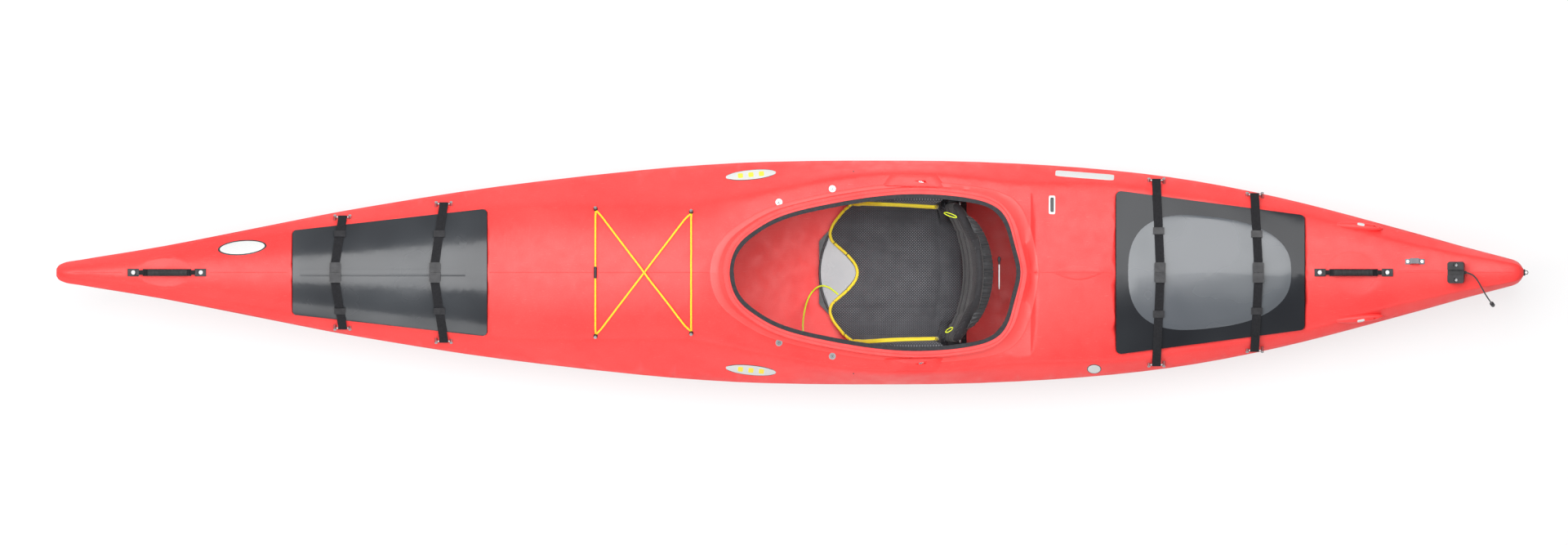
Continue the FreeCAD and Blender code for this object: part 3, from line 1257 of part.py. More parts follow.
# ------------------------------------------------------------------ stern gear
BORE_HEIGHT = 17
COUNTERBORE = 1
SOCKET_LOW = 193
PLATE_INSET = 2
FAIRING_AT = 89.9


def stern_gear():
    long, wide, high = (size("block_%s" % word) / 2 for word in ("long", "wide", "high"))
    body = block((-long, long), (-wide, wide), (-high, 2 * high))
    body = body.makeFillet(8, [e for e in body.Edges if abs(e.tangentAt(e.FirstParameter).z) > 0.9])
    slot = size("block_slot_wide") / 2
    cuts = [block((-FAR, FAR), (-slot, slot), (2 * high - size("block_slot_deep"), FAR)),
            rod(Vector(-2 * long, 0, BORE_HEIGHT), Vector(2 * long, 0, BORE_HEIGHT), size("block_bore_d"))]
    body = park_block.set(body.cut(cuts))
    wells = [rod(point, point + normal * FAR, size("screw_head_d") + 2 * COUNTERBORE)
             for point, normal in park_block.spots]
    holes = [hole(*spot, HOLE_SPARE) for spot in park_block.spots]
    feature("rudder_park_block", body.cut(wells + holes + [outer.solid]))

    foot, loop = size("bracket_long") / 2, size("bracket_loop_long") / 2
    thick, top = size("bracket_thick"), size("bracket_high")
    outside = [(-foot, 0), (foot, 0), (foot, thick), (loop, thick), (loop, top), (-loop, top), (-loop, thick),
               (-foot, thick)]
    band = block((-foot, foot), (-FAR, FAR), (0, thick)).fuse(block((-loop, loop), (-FAR, FAR), (0, top)))
    band = band.cut(block((thick - loop, loop - thick), (-FAR, FAR), (-thick, top - thick)))
    half = size("bracket_wide") / 2
    band = bracket.set(band.common(block((-FAR, FAR), (-half, half), (-FAR, FAR))))
    feature("towing_bracket", band.cut([hole(*spot, HOLE_SPARE) for spot in bracket.spots] + [outer.solid]))
    screws("stern_fitting_screws", plain_screw, stern_spots)

    stern, plate = outer.places[-1], size("socket_plate")
    low, high = SOCKET_LOW, SOCKET_LOW + size("socket_high")
    face = stern - size("stern_rake") / height(SHEER[-1][1] - KEEL[-1][1]) * (height(SHEER[-1][1]) - low)
    centre = Vector(stern + plate + size("socket_od") / 2, 0, low)
    top = centre + UP * (high - low)
    half = outer.side_at(stern, height(SHEER[-1][1])) - PLATE_INSET
    back = block((face - plate, stern + 2 * plate), (-half, half), (low, high))
    socket = back.fuse(rod(centre, top, size("socket_od"))).cut([outer.solid, rod(centre - UP, top + UP,
                                                                                 size("socket_bore"))])
    feature("rudder_pin_socket", socket)


def fairings():
    """Low domes over the places where the cable tubes leave the deck."""
    stretch = Matrix()
    stretch.scale(size("fairing_long") / 2, size("fairing_wide") / 2, size("fairing_high"))
    dome = Part.makeSphere(1).transformGeometry(stretch)
    a, b, _ = tube_runs(STARBOARD)
    run = (a - b).normalize()
    x = along(FAIRING_AT)
    y = a.y + (x - a.x) * run.y / run.x
    point = outer.deck_at(x - size("fairing_long") / 3, y)
    dome.Placement = Placement(point, Rotation(Vector(1, 0, 0), Vector(run.x, run.y, 0)))
    bore = rod(b, a + (a - b), size("tube_od") + 2 * size("tube_gap"))
    feature("rudder_cable_fairings", pair(dome.cut([outer.solid, bore])))


stern_gear()
fairings()

# ------------------------------------------------------------------ free cords
KNOT_D = 10
TOGGLE_CORNER = 3
PARK_CORD = ((1927, 0, 279), (1943, -3, 280), (1958, -16, 277), (1971, -38, 273), (1984, -62, 263),
             (1996, -80, 243), (2002, -88, 216))
SEAT_CORD = ((131, -63, 22), (118, -52, 22), (102, -41, 22), (86, -37, 24), (70, -42, 20), (52, -60, 10),
             (41, -84, 20), (34, -112, 60), (30, -143, 116), (30, -166, 182), (32, -174, 236), (32, -175, 262))


def cords():
    for name, points, thick in (("park_cord", PARK_CORD, size("park_cord_d")),
                                ("seat_cord", SEAT_CORD, size("seat_cord_d"))):
        points = [Vector(*point) for point in points]
        cord = tube(points, thick)
        if name == "park_cord":
            cord = cord.fuse(Part.makeSphere(KNOT_D / 2, points[0]))
        feature(name, cord)
        radii = [edge.Curve.Radius for edge in bent_path(points).Edges if edge.Curve.TypeId == "Part::GeomCircle"]
        print(name, "radii", [round(radius) for radius in radii])
    end, before = Vector(*PARK_CORD[-1]), Vector(*PARK_CORD[-2])
    run = (end - before).normalize()
    toggle = rod(end, end + run * size("cord_toggle_long"), size("cord_toggle_d"))
    feature("park_cord_toggle", toggle.makeFillet(TOGGLE_CORNER, [e for e in toggle.Edges if len(e.Vertexes) == 1]))


cords()

# ------------------------------------------------------------------ checks and files
doc.recompute()
faults = [item.Name for item in doc.Objects if {"Invalid", "Error"} & set(item.State)]
faults += [name for name, piece in PIECES.items() if piece.Shape.isNull() or not piece.Shape.isValid()]
if faults:
    raise RuntimeError("faulty pieces: " + ", ".join(faults))
os.makedirs("parts", exist_ok=True)
for name, piece in PIECES.items():
    piece.Shape.exportStep("parts/%s.step" % name)
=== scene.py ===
"""A one-seat touring kayak: finishes, soft parts, cords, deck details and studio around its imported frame.

Places are in metres in the frame's own axes: the bow is at -X, starboard is +Y and +Z is up.
"""
import json
import math

import bmesh
import bpy
from mathutils import Matrix, Vector
from mathutils.bvhtree import BVHTree


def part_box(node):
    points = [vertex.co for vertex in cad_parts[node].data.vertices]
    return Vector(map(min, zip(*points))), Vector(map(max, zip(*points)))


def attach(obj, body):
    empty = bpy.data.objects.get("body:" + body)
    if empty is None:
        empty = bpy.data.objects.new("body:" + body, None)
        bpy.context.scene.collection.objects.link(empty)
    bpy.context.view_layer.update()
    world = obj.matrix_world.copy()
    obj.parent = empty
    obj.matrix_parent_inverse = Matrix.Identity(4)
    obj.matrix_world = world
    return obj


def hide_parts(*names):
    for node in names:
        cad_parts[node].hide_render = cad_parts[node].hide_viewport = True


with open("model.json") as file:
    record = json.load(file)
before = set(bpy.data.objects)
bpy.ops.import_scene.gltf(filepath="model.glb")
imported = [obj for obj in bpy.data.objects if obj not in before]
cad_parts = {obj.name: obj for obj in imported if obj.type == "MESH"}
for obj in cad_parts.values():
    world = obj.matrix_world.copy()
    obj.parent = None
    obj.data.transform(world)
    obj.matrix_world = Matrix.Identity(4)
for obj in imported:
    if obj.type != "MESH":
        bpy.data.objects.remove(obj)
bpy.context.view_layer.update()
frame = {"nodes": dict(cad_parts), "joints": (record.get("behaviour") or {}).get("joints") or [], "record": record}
record = frame["record"]
NODE_SLOT = {part["node"]: part["material_slot"] for part in record["subparts"]}
NODE_BODY = {node: body for body, nodes in record["behaviour"]["bodies"].items() for node in nodes}
HINGES = {joint["name"]: joint for joint in frame["joints"] if joint["type"] == "hinge"}
MM = 0.001
PORT, STARBOARD = -1, 1
SIDES = ((PORT, "port"), (STARBOARD, "starboard"))

# ---- photo pixels to metres
PIXEL = 2.34 * MM
CENTRE_COLUMN = 967
CENTRE_SHIFT = 7.5 * MM
KEEL_ROWS = ((363, 219), (1790, 214))


def along(column):
    """X of a column of the photograph's top view."""
    return (column - CENTRE_COLUMN) * PIXEL - CENTRE_SHIFT


def across(column, row):
    """Y of a pixel of the photograph's top view, whose centreline slopes a little."""
    (first, high), (last, low) = KEEL_ROWS
    centre = high + (low - high) * (column - first) / (last - first)
    return (centre - row) * PIXEL


def spot(column, row, side=STARBOARD):
    """X and Y of a pixel of the top view, or of its mirror image to port."""
    return along(column), side * across(column, row)


# ---- finishes
class Finish:
    """A procedural material built round one Principled shader."""

    def __init__(self, name, colour, roughness, **sockets):
        self.material = bpy.data.materials.new(name)
        self.material.use_nodes = True
        self.tree = self.material.node_tree
        self.shader = self.tree.nodes["Principled BSDF"]
        self.shader.inputs["Base Color"].default_value = (*colour, 1)
        self.shader.inputs["Roughness"].default_value = roughness
        for socket, value in sockets.items():
            self.shader.inputs[socket.replace("_", " ")].default_value = value
        self.name, self.colour = name, colour
        self.place = self.node("ShaderNodeTexCoord").outputs["Object"]
        self.normal = None

    def node(self, kind, **settings):
        made = self.tree.nodes.new(kind)
        for name, value in settings.items():
            setattr(made, name, value)
        return made

    def link(self, output, socket):
        self.tree.links.new(output, socket)

    def noise(self, scale, detail, stretch=None):
        """A noise over the piece, stretched where given."""
        source = self.place
        if stretch:
            mapping = self.node("ShaderNodeMapping")
            mapping.inputs["Scale"].default_value = stretch
            self.link(source, mapping.inputs["Vector"])
            source = mapping.outputs[0]
        texture = self.node("ShaderNodeTexNoise")
        texture.inputs["Scale"].default_value = scale
        texture.inputs["Detail"].default_value = detail
        self.link(source, texture.inputs["Vector"])
        return texture.outputs["Fac"]

    def between(self, value, low, high, start=0.35, end=0.65):
        """A value spread from low to high."""
        spread = self.node("ShaderNodeMapRange")
        for socket, number in (("From Min", start), ("From Max", end), ("To Min", low), ("To Max", high)):
            spread.inputs[socket].default_value = number
        self.link(value, spread.inputs["Value"])
        return spread.outputs[0]

    def maths(self, operation, a, b):
        made = self.node("ShaderNodeMath", operation=operation)
        for socket, value in zip(made.inputs, (a, b)):
            if isinstance(value, (int, float)):
                socket.default_value = value
            else:
                self.link(value, socket)
        return made.outputs[0]

    def tint(self, value, other):
        """Mixes another colour in by a value."""
        mix = self.node("ShaderNodeMix", data_type="RGBA")
        base = self.shader.inputs["Base Color"]
        if base.links:
            self.link(base.links[0].from_socket, mix.inputs[6])
        else:
            mix.inputs[6].default_value = (*self.colour, 1)
        mix.inputs[7].default_value = (*other, 1)
        self.link(value, mix.inputs[0])
        self.link(mix.outputs[2], base)
        return self

    def roughen(self, value):
        self.link(value, self.shader.inputs["Roughness"])
        return self

    def bump(self, value, height):
        """Relief of a height in metres."""
        made = self.node("ShaderNodeBump")
        made.inputs["Strength"].default_value = 1
        made.inputs["Distance"].default_value = height
        self.link(value, made.inputs["Height"])
        if self.normal:
            self.link(self.normal, made.inputs["Normal"])
        self.normal = made.outputs[0]
        self.link(self.normal, self.shader.inputs["Normal"])
        return self


def moulded_red(name, colour, deep):
    """Rotomoulded polyethylene: soft sheen, faint mottle, fine scuffs along the boat."""
    made = Finish(name, colour, 0.42, Specular_IOR_Level=0.3, Coat_Weight=0.06, Coat_Roughness=0.35)
    made.tint(made.between(made.noise(5, 4), 0, 0.5), deep)
    made.tint(made.between(made.noise(420, 2), 0, 0.1), (0.96, 0.16, 0.13))
    scuffs = made.between(made.noise(60, 4, (0.6, 9, 9)), 0, 1, 0.64, 0.72)
    scuffs = made.maths("MULTIPLY", scuffs, 0.1)
    made.tint(scuffs, (1, 0.45, 0.4))
    made.roughen(made.maths("ADD", made.between(made.noise(26, 5), 0.34, 0.5), scuffs))
    return made.bump(made.noise(900, 2), 0.00006).bump(made.noise(11, 2), 0.0006)


def glossy_black(name, colour=(0.02, 0.022, 0.026), painted_reflection=0.3, shine=0.55):
    """Thin glossy cover over deep black, lighter and a little rougher in patches: the lighter grey is painted hazy
    reflection.
    """
    made = Finish(name, colour, 0.2, Specular_IOR_Level=shine, Coat_Weight=shine * 0.7, Coat_Roughness=0.12)
    painted_reflection_patches = made.between(made.noise(5, 1), 0, 1, 0.3, 0.8)
    # Painted reflection: a lighter grey mixed into the black in soft patches, standing in for hazy reflections.
    made.tint(made.maths("MULTIPLY", painted_reflection_patches, painted_reflection), (0.09, 0.1, 0.11))
    patch_roughness = made.maths("MULTIPLY", painted_reflection_patches, painted_reflection / 4)
    made.roughen(made.maths("ADD", made.between(made.noise(8, 2), 0.12, 0.24), patch_roughness))
    return made.bump(made.noise(6, 1), 0.0012).bump(made.noise(700, 2), 0.00002)


def moulded(name, colour, roughness=0.45, grain=1500):
    """Injection-moulded plastic with a fine spark grain."""
    made = Finish(name, colour, roughness, Specular_IOR_Level=0.3)
    made.tint(made.between(made.noise(90, 4), 0, 0.35), [c * 2 + 0.004 for c in colour])
    made.roughen(made.between(made.noise(60, 4), roughness - 0.08, roughness + 0.1))
    return made.bump(made.noise(grain, 2), 0.00005)


def rubber(name, colour):
    made = Finish(name, colour, 0.62, Specular_IOR_Level=0.2)
    made.tint(made.between(made.noise(120, 5), 0, 0.6), [c * 1.8 for c in colour])
    return made.bump(made.noise(1100, 3), 0.00008)


def woven(name, colour, pitch):
    """Plain weave: warp and weft ridges that take turns, with a dusty sheen."""
    made = Finish(name, colour, 0.78, Sheen_Weight=0.1, Sheen_Roughness=0.4, Specular_IOR_Level=0.15)
    waves = []
    for axis in ("X", "Y"):
        wave = made.node("ShaderNodeTexWave", bands_direction=axis)
        wave.inputs["Scale"].default_value = 1 / pitch / math.tau
        made.link(made.place, wave.inputs["Vector"])
        waves.append(wave.outputs["Fac"])
    weave = made.maths("MULTIPLY", *waves)
    made.tint(made.between(weave, 0, 0.5, 0, 1), [c * 2 + 0.004 for c in colour])
    made.tint(made.between(made.noise(180, 4), 0, 0.4), [c * 0.4 for c in colour])
    return made.bump(weave, 0.0003)


DOT_PITCH = 5.6 * MM


def padded_cloth(name, colour=(0.036, 0.036, 0.041), dots=0.75):
    """Dark laminated cloth with rows of small punched dots."""
    made = Finish(name, colour, 0.68, Sheen_Weight=0.16, Sheen_Roughness=0.5, Specular_IOR_Level=0.3)
    turn = made.node("ShaderNodeMapping")
    turn.inputs["Rotation"].default_value = (0, 0, math.radians(45))
    made.link(made.node("ShaderNodeUVMap").outputs[0], turn.inputs["Vector"])
    punched = made.node("ShaderNodeTexVoronoi", voronoi_dimensions="2D")
    punched.inputs["Scale"].default_value = 1 / DOT_PITCH
    punched.inputs["Randomness"].default_value = 0
    made.link(turn.outputs[0], punched.inputs["Vector"])
    dot = made.between(punched.outputs["Distance"], 1, 0, 0.16, 0.3)
    dot = made.maths("MULTIPLY", dot, made.between(made.noise(9, 3), 0.25, 1))
    made.tint(made.maths("MULTIPLY", dot, dots), (0.3, 0.3, 0.33))
    made.tint(made.between(made.noise(14, 4), 0, 0.5), [c * 1.5 for c in colour])
    made.roughen(made.between(made.noise(40, 4), 0.6, 0.78)).bump(made.noise(1500, 2), 0.00012)
    return made.bump(made.maths("MULTIPLY", dot, -1), 0.0005).bump(made.noise(30, 3), 0.0015)


def braided(name, colour, light, pitch=0.004):
    """Braided sheath of a cord."""
    made = Finish(name, colour, 0.6, Sheen_Weight=0.3, Sheen_Roughness=0.4)
    checks = made.node("ShaderNodeTexVoronoi")
    checks.inputs["Scale"].default_value = 1 / pitch
    made.link(made.place, checks.inputs["Vector"])
    plait = checks.outputs["Distance"]
    made.tint(made.between(plait, 0, 0.6, 0.2, 0.7), light)
    return made.bump(plait, -0.0004)


def steel(name, colour=(0.47, 0.475, 0.485)):
    """Brushed metal."""
    made = Finish(name, colour, 0.36, Metallic=1)
    made.roughen(made.between(made.noise(300, 4, (1, 6, 1)), 0.28, 0.48))
    made.tint(made.between(made.noise(80, 3), 0, 0.5), [c * 0.75 for c in colour])
    return made.bump(made.noise(900, 3, (1, 8, 1)), 0.00003)


def plain_film(name, colour, roughness):
    made = Finish(name, colour, roughness)
    return made.bump(made.noise(400, 3), 0.00005)


def silver_film():
    made = Finish("silver_film", (0.6, 0.61, 0.6), 0.35, Specular_IOR_Level=0.5)
    made.tint(made.between(made.noise(500, 3), 0, 0.3), (0.45, 0.46, 0.46))
    return made.bump(made.noise(60, 3), 0.0002)


def gathered_cloth():
    made = Finish("gathered_cloth", (0.026, 0.026, 0.029), 0.55, Sheen_Weight=0.2)
    made.tint(made.between(made.noise(60, 4), 0, 0.5), (0.012, 0.012, 0.013))
    return made.bump(made.noise(1300, 2), 0.0001).bump(made.noise(90, 3, (1, 1, 0.4)), 0.0012)


def pan_grey():
    made = Finish("pan_grey", (0.32, 0.325, 0.34), 0.2, Coat_Weight=0.5, Coat_Roughness=0.1)
    made.tint(made.between(made.noise(6, 3), 0, 0.6), (0.2, 0.205, 0.22))
    return made.roughen(made.between(made.noise(30, 4), 0.14, 0.3)).bump(made.noise(8, 2), 0.0008)


def make_finishes():
    """Every finish, by its name."""
    made = (
        moulded_red("hull_red", (0.88, 0.048, 0.046), (0.78, 0.026, 0.028)),
        moulded_red("bulkhead_red", (0.74, 0.05, 0.05), (0.6, 0.03, 0.03)),
        # A lighter copy of the hull red for the coaming ledge: painted light where the ledge faces up to the
        # lamps.
        moulded_red("apron_red_painted_light", (0.91, 0.088, 0.084), (0.86, 0.06, 0.058)),
        glossy_black("hatch_black", shine=0.45),
        # A darker, duller copy of the hatch black for the rear lid: painted shade, with less painted reflection.
        glossy_black("hatch_black_shaded", (0.012, 0.013, 0.016), 0.15, 0.22),
        # A lighter grey copy of the hatch black, hazy all over, for the rear lid's oval: painted reflection.
        glossy_black("hatch_painted_reflection", (0.075, 0.083, 0.095), 1),
        rubber("seal_rubber", (0.02, 0.02, 0.021)),
        rubber("rim_trim", (0.02, 0.02, 0.023)),
        woven("webbing_black", (0.014, 0.014, 0.016), 0.0011),
        moulded("buckle_black", (0.02, 0.02, 0.022), 0.38),
        moulded("seat_grey", (0.04, 0.04, 0.044), 0.24, 500),
        moulded("brace_black", (0.016, 0.016, 0.018)),
        moulded("fitting_black", (0.016, 0.016, 0.018), 0.42),
        steel("screw_steel"),
        steel("bracket_steel", (0.1, 0.1, 0.108)),
        steel("rail_aluminium", (0.55, 0.56, 0.58)),
        pan_grey(),
        padded_cloth("seat_foam"),
        padded_cloth("back_cloth", (0.014, 0.013, 0.015), 0.15),
        gathered_cloth(),
        braided("bungee_yellow", (0.85, 0.62, 0.01), (0.62, 0.4, 0.01)),
        braided("piping_yellow", (0.88, 0.7, 0.02), (0.75, 0.55, 0.02), 0.0018),
        braided("cord_black", (0.018, 0.018, 0.018), (0.06, 0.06, 0.06), 0.003),
        braided("cord_lime", (0.8, 0.82, 0.01), (0.5, 0.8, 0.02), 0.003),
        silver_film(),
        plain_film("dark_film", (0.03, 0.03, 0.03), 0.4),
        plain_film("yellow_film", (0.87, 0.66, 0.03), 0.35),
    )
    return {finish.name: finish for finish in made}


FINISHES = make_finishes()


# ---- mesh helpers
def piece(name, mesh, body, finish, sharp=40):
    """A finished object that rides on a body, smooth below an angle in degrees. No slot: its finish's own."""
    made = bpy.data.objects.new(name, mesh)
    bpy.context.scene.collection.objects.link(made)
    mesh.materials.clear()
    mesh.materials.append(FINISHES[finish].material)
    for polygon in mesh.polygons:
        polygon.use_smooth = True
        polygon.material_index = 0
    mesh.set_sharp_from_angle(angle=math.radians(sharp))
    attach(made, body)
    return made


def mesh_from(points, faces, name, uvs=None):
    """A mesh whose faces all look outwards."""
    mesh = bpy.data.meshes.new(name)
    mesh.from_pydata([tuple(p) for p in points], [], faces)
    if uvs:
        layer = mesh.uv_layers.new(name="UVMap")
        for loop in mesh.loops:
            layer.data[loop.index].uv = uvs[loop.vertex_index]
    mesh.update()
    work = bmesh.new()
    work.from_mesh(mesh)
    bmesh.ops.recalc_face_normals(work, faces=work.faces)
    work.to_mesh(mesh)
    work.free()
    return mesh


def weld(mesh, distance):
    """Joins the vertices of a mesh that lie within a distance."""
    work = bmesh.new()
    work.from_mesh(mesh)
    bmesh.ops.remove_doubles(work, verts=work.verts, dist=distance)
    work.to_mesh(mesh)
    work.free()


def evenly(start, end, steps):
    """Evenly spaced values from start to end, with both."""
    return [start + (end - start) * k / steps for k in range(steps + 1)]


def circle(count):
    """Cosine and sine of each of a number of even turns."""
    turns = [2 * math.pi * k / count for k in range(count)]
    return [(math.cos(turn), math.sin(turn)) for turn in turns]


def grid(rows, columns, start=-1):
    """Places (u, v) of a grid, row by row: u from start to 1, v from 0 to 1."""
    return [(u, v) for v in evenly(0, 1, rows - 1) for u in evenly(start, 1, columns - 1)]


def smooth_points(points, steps=6):
    """A smooth line through points, with some steps to each stretch."""
    smooth = []
    for before, a, b, after in zip(points[:1] + points, points, points[1:], points[2:] + points[-1:]):
        for k in range(steps):
            t = k / steps
            smooth.append(0.5 * (2 * a + (b - before) * t + (2 * before - 5 * a + 4 * b - after) * t ** 2
                                 + (3 * a - before - 3 * b + after) * t ** 3))
    return smooth + points[-1:]


def grid_faces(rows, columns, first=0, closed=False):
    """Quads of a grid of points, row by row."""
    faces = []
    for i in range(rows - 1):
        for j in range(columns if closed else columns - 1):
            k = (j + 1) % columns
            faces.append((first + i * columns + j, first + i * columns + k,
                          first + (i + 1) * columns + k, first + (i + 1) * columns + j))
    return faces


def shell_between(top, bottom, rows, columns, name, uvs=None):
    """A closed mesh from two grids of points that share their outline's order."""
    count = rows * columns
    faces = grid_faces(rows, columns)
    faces += [face[::-1] for face in grid_faces(rows, columns, count)]
    edge = list(range(columns))
    edge += [i * columns + columns - 1 for i in range(1, rows)]
    edge += [(rows - 1) * columns + j for j in range(columns - 2, -1, -1)]
    edge += [i * columns for i in range(rows - 2, 0, -1)]
    for a, b in zip(edge, edge[1:] + edge[:1]):
        faces.append((a, b, b + count, a + count))
    return mesh_from(list(top) + list(bottom), faces, name, uvs * 2 if uvs else None)


def ring_mesh(path, radii, name, sides=20, aim=None):
    """A round solid along a path with its own radius at each point."""
    points = []
    for i, at in enumerate(path):
        run = (path[min(i + 1, len(path) - 1)] - path[max(i - 1, 0)]).normalized() if aim is None else aim
        side = run.orthogonal().normalized()
        other = run.cross(side)
        points += [at + (side * c + other * s) * radii[i] for c, s in circle(sides)]
    faces = grid_faces(len(path), sides, closed=True)
    faces.append(tuple(range(sides))[::-1])
    faces.append(tuple(len(points) - sides + k for k in range(sides)))
    return mesh_from(points, faces, name)


def nurbs(name, points, radius, finish):
    """A smooth round cord on the hull, whose control points are the route's."""
    curve = bpy.data.curves.new(name, "CURVE")
    curve.dimensions = "3D"
    curve.bevel_depth = radius
    curve.bevel_resolution = 5
    curve.resolution_u = 16
    curve.use_fill_caps = True
    spline = curve.splines.new("NURBS")
    spline.points.add(len(points) - 1)
    for control, at in zip(spline.points, points):
        control.co = (*at, 1)
    spline.order_u = 3
    spline.use_endpoint_u = True
    curve.materials.append(FINISHES[finish].material)
    made = bpy.data.objects.new(name, curve)
    bpy.context.scene.collection.objects.link(made)
    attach(made, "hull")
    return made


# ---- the frame's own pieces
SOFT_EDGES = {"buckle_black": 0.9 * MM, "fitting_black": 0.8 * MM, "webbing_black": 0.35 * MM,
              "brace_black": 1.5 * MM, "screw_steel": 0.25 * MM, "hatch_black": 1.6 * MM,
              "seat_grey": 1.2 * MM, "rim_trim": 1 * MM, "rail_aluminium": 0.4 * MM}
SHARP_ANGLE = {"hull_red": 24, "hatch_black": 26}
PLAIN_SHARP_ANGLE = 32
# The rear lid takes the shaded copy of the hatch black: painted shade.
OWN_FINISH = {"rear_hatch_lid": "hatch_black_shaded", "towing_bracket": "bracket_steel"}
REPLACED = ("seat_cushion", "hip_pads", "backrest_pad", "backrest_band", "backrest_toggle", "deck_bungee",
            "park_cord", "seat_cord", "bow_handle_grip", "stern_handle_grip")
WELD = 0.02 * MM


def dress(node):
    """A CAD node with its welded skin, softened edges and finish."""
    mesh = frame["nodes"][node].data.copy()
    weld(mesh, WELD)
    if mesh.has_custom_normals:
        mesh.normals_split_custom_set([(0, 0, 0)] * len(mesh.loops))
    slot = NODE_SLOT[node]
    made = piece(node + "_skin", mesh, NODE_BODY[node], OWN_FINISH.get(node, slot),
                 SHARP_ANGLE.get(slot, PLAIN_SHARP_ANGLE))
    if slot in SOFT_EDGES:
        bevel = made.modifiers.new("soft_edges", "BEVEL")
        bevel.width = SOFT_EDGES[slot]
        bevel.segments = 2
        bevel.limit_method = "ANGLE"
        bevel.angle_limit = math.radians(45)
        bevel.harden_normals = False
    normals = made.modifiers.new("even_normals", "WEIGHTED_NORMAL")
    normals.keep_sharp = True
    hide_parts(node)
    return made


skins = {node: dress(node) for node in frame["nodes"] if node not in REPLACED}


# ---- looking up the surface
def tree_of(*nodes):
    """A search tree of some nodes' faces."""
    points, faces = [], []
    for node in nodes:
        mesh = frame["nodes"][node].data
        first = len(points)
        points += [vertex.co.copy() for vertex in mesh.vertices]
        faces += [[first + k for k in polygon.vertices] for polygon in mesh.polygons]
    return BVHTree.FromPolygons(points, faces)


HULL = tree_of("hull_shell")
LIDS = {name: tree_of(name + "_hatch_lid") for name in ("front", "rear")}
UP, DOWN = Vector((0, 0, 1)), Vector((0, 0, -1))
SKY = 1.0
EDGE_SINK = 1 * MM


def drop(tree, x, y):
    """The surface point under a place on the plan and its upward normal, or None past the surface's edge."""
    hit, normal, _, _ = tree.ray_cast(Vector((x, y, SKY)), DOWN)
    if hit is None:
        return None
    return hit, normal if normal.z > 0 else -normal


def lay(tree, outline, lift, name, body, finish, rings=6, dome=0.0):
    """A thin plate or raised patch over a surface, inside an outline on the plan, with a rounded edge."""
    centre = sum((Vector((*p, 0)) for p in outline), Vector()) / len(outline)
    points = []
    for share in evenly(1, 0, rings):
        rise = lift + dome * (1 - share ** 2) if share < 1 else -EDGE_SINK
        for x, y in outline:
            inward = centre.lerp(Vector((x, y, 0)), share)
            at, normal = drop(tree, inward.x, inward.y) or (points[-1], UP)
            points.append(at + normal * rise)
    mesh = mesh_from(points, grid_faces(rings + 1, len(outline), closed=True), name)
    weld(mesh, 0.01 * MM)
    piece(name, mesh, body, finish)


def ridge(name, tree, places, profile, half_wide, high, body="hull", finish="hull_red", closed=False):
    """A fine raised line: its profile of (aside, up) shares at each (x, y, direction aside) place."""
    points, wide = [], len(profile)
    for x, y, aside in places:
        at, normal = drop(tree, x, y)
        points += [at + aside * share * half_wide + normal * up * high for share, up in profile]
    faces = grid_faces(len(places), wide)
    if closed:
        last = len(points) - wide
        faces += [(last + k, k, k + 1, last + k + 1) for k in range(wide - 1)]
    piece(name, mesh_from(points, faces, name), body, finish, sharp=80)


def oval(x, y, half_long, half_wide, turn=0.0, count=48, power=2.0):
    """An oval outline; a power above 2 squares it up."""
    points = []
    for c, s in circle(count):
        u = half_long * math.copysign(abs(c) ** (2 / power), c)
        v = half_wide * math.copysign(abs(s) ** (2 / power), s)
        points.append((x + u * math.cos(turn) - v * math.sin(turn),
                       y + u * math.sin(turn) + v * math.cos(turn)))
    return points


# ---- seat
FLOOR = 14 * MM
PAN_WALL, SOFT_GAP = 5 * MM, 0.4 * MM
SEAT_HALF, SEAT_BEND = 218 * MM, 95 * MM
CUSHION_THICK = 20 * MM
BASE = PAN_WALL + SOFT_GAP
CUSHION_AFT = 447 * MM
WING_HEIGHTS = ((105, 60), (170, 84), (215, 150), (262, 196), (330, 207), (408, 205), (427, 66), (447, 60))
NOSE = ((0.0, 184), (0.06, 181), (0.2, 159), (0.36, 124), (0.44, 109), (0.52, 105), (0.62, 111), (0.8, 140),
        (1.0, 183))
SKIRT_LONG, SKIRT_HALF = 42 * MM, 150 * MM
WING_SWELL = 14 * MM


def trace(table, x):
    """A value read off a smooth line through (place, value) points."""
    if x <= table[0][0]:
        return table[0][1]
    for k, ((a, low), (b, high)) in enumerate(zip(table, table[1:])):
        if x <= b:
            t, width = (x - a) / (b - a), b - a
            start = slope(table, k) * width
            end = slope(table, k + 1) * width
            return (low * (2 * t ** 3 - 3 * t ** 2 + 1) + start * (t ** 3 - 2 * t ** 2 + t)
                    + high * (3 * t ** 2 - 2 * t ** 3) + end * (t ** 3 - t ** 2))
    return table[-1][1]


def slope(table, k):
    """The smooth line's slope at a point: level at peaks and at the middle."""
    if k in (0, len(table) - 1):
        return 0
    (a, low), (at, here), (b, high) = table[k - 1:k + 2]
    before, after = (here - low) / (at - a), (high - here) / (b - at)
    if before * after <= 0:
        return 0
    return 2 * before * after / (before + after)


def tub_point(s, rise):
    """A place round the bucket's section: signed distance from the middle, and height off its lining."""
    flat, radius = SEAT_HALF - SEAT_BEND, SEAT_BEND - BASE
    side, reach = math.copysign(1, s), abs(s)
    if reach <= flat:
        y, z, ny, nz = reach, FLOOR + BASE, 0, 1
    elif reach <= flat + radius * math.pi / 2:
        turn = (reach - flat) / radius
        y, z = flat + radius * math.sin(turn), FLOOR + SEAT_BEND - radius * math.cos(turn)
        ny, nz = -math.sin(turn), math.cos(turn)
    else:
        y, z, ny, nz = SEAT_HALF - BASE, FLOOR + SEAT_BEND + reach - flat - radius * math.pi / 2, -1, 0
    return Vector((0, side * (y + ny * rise), z + nz * rise))


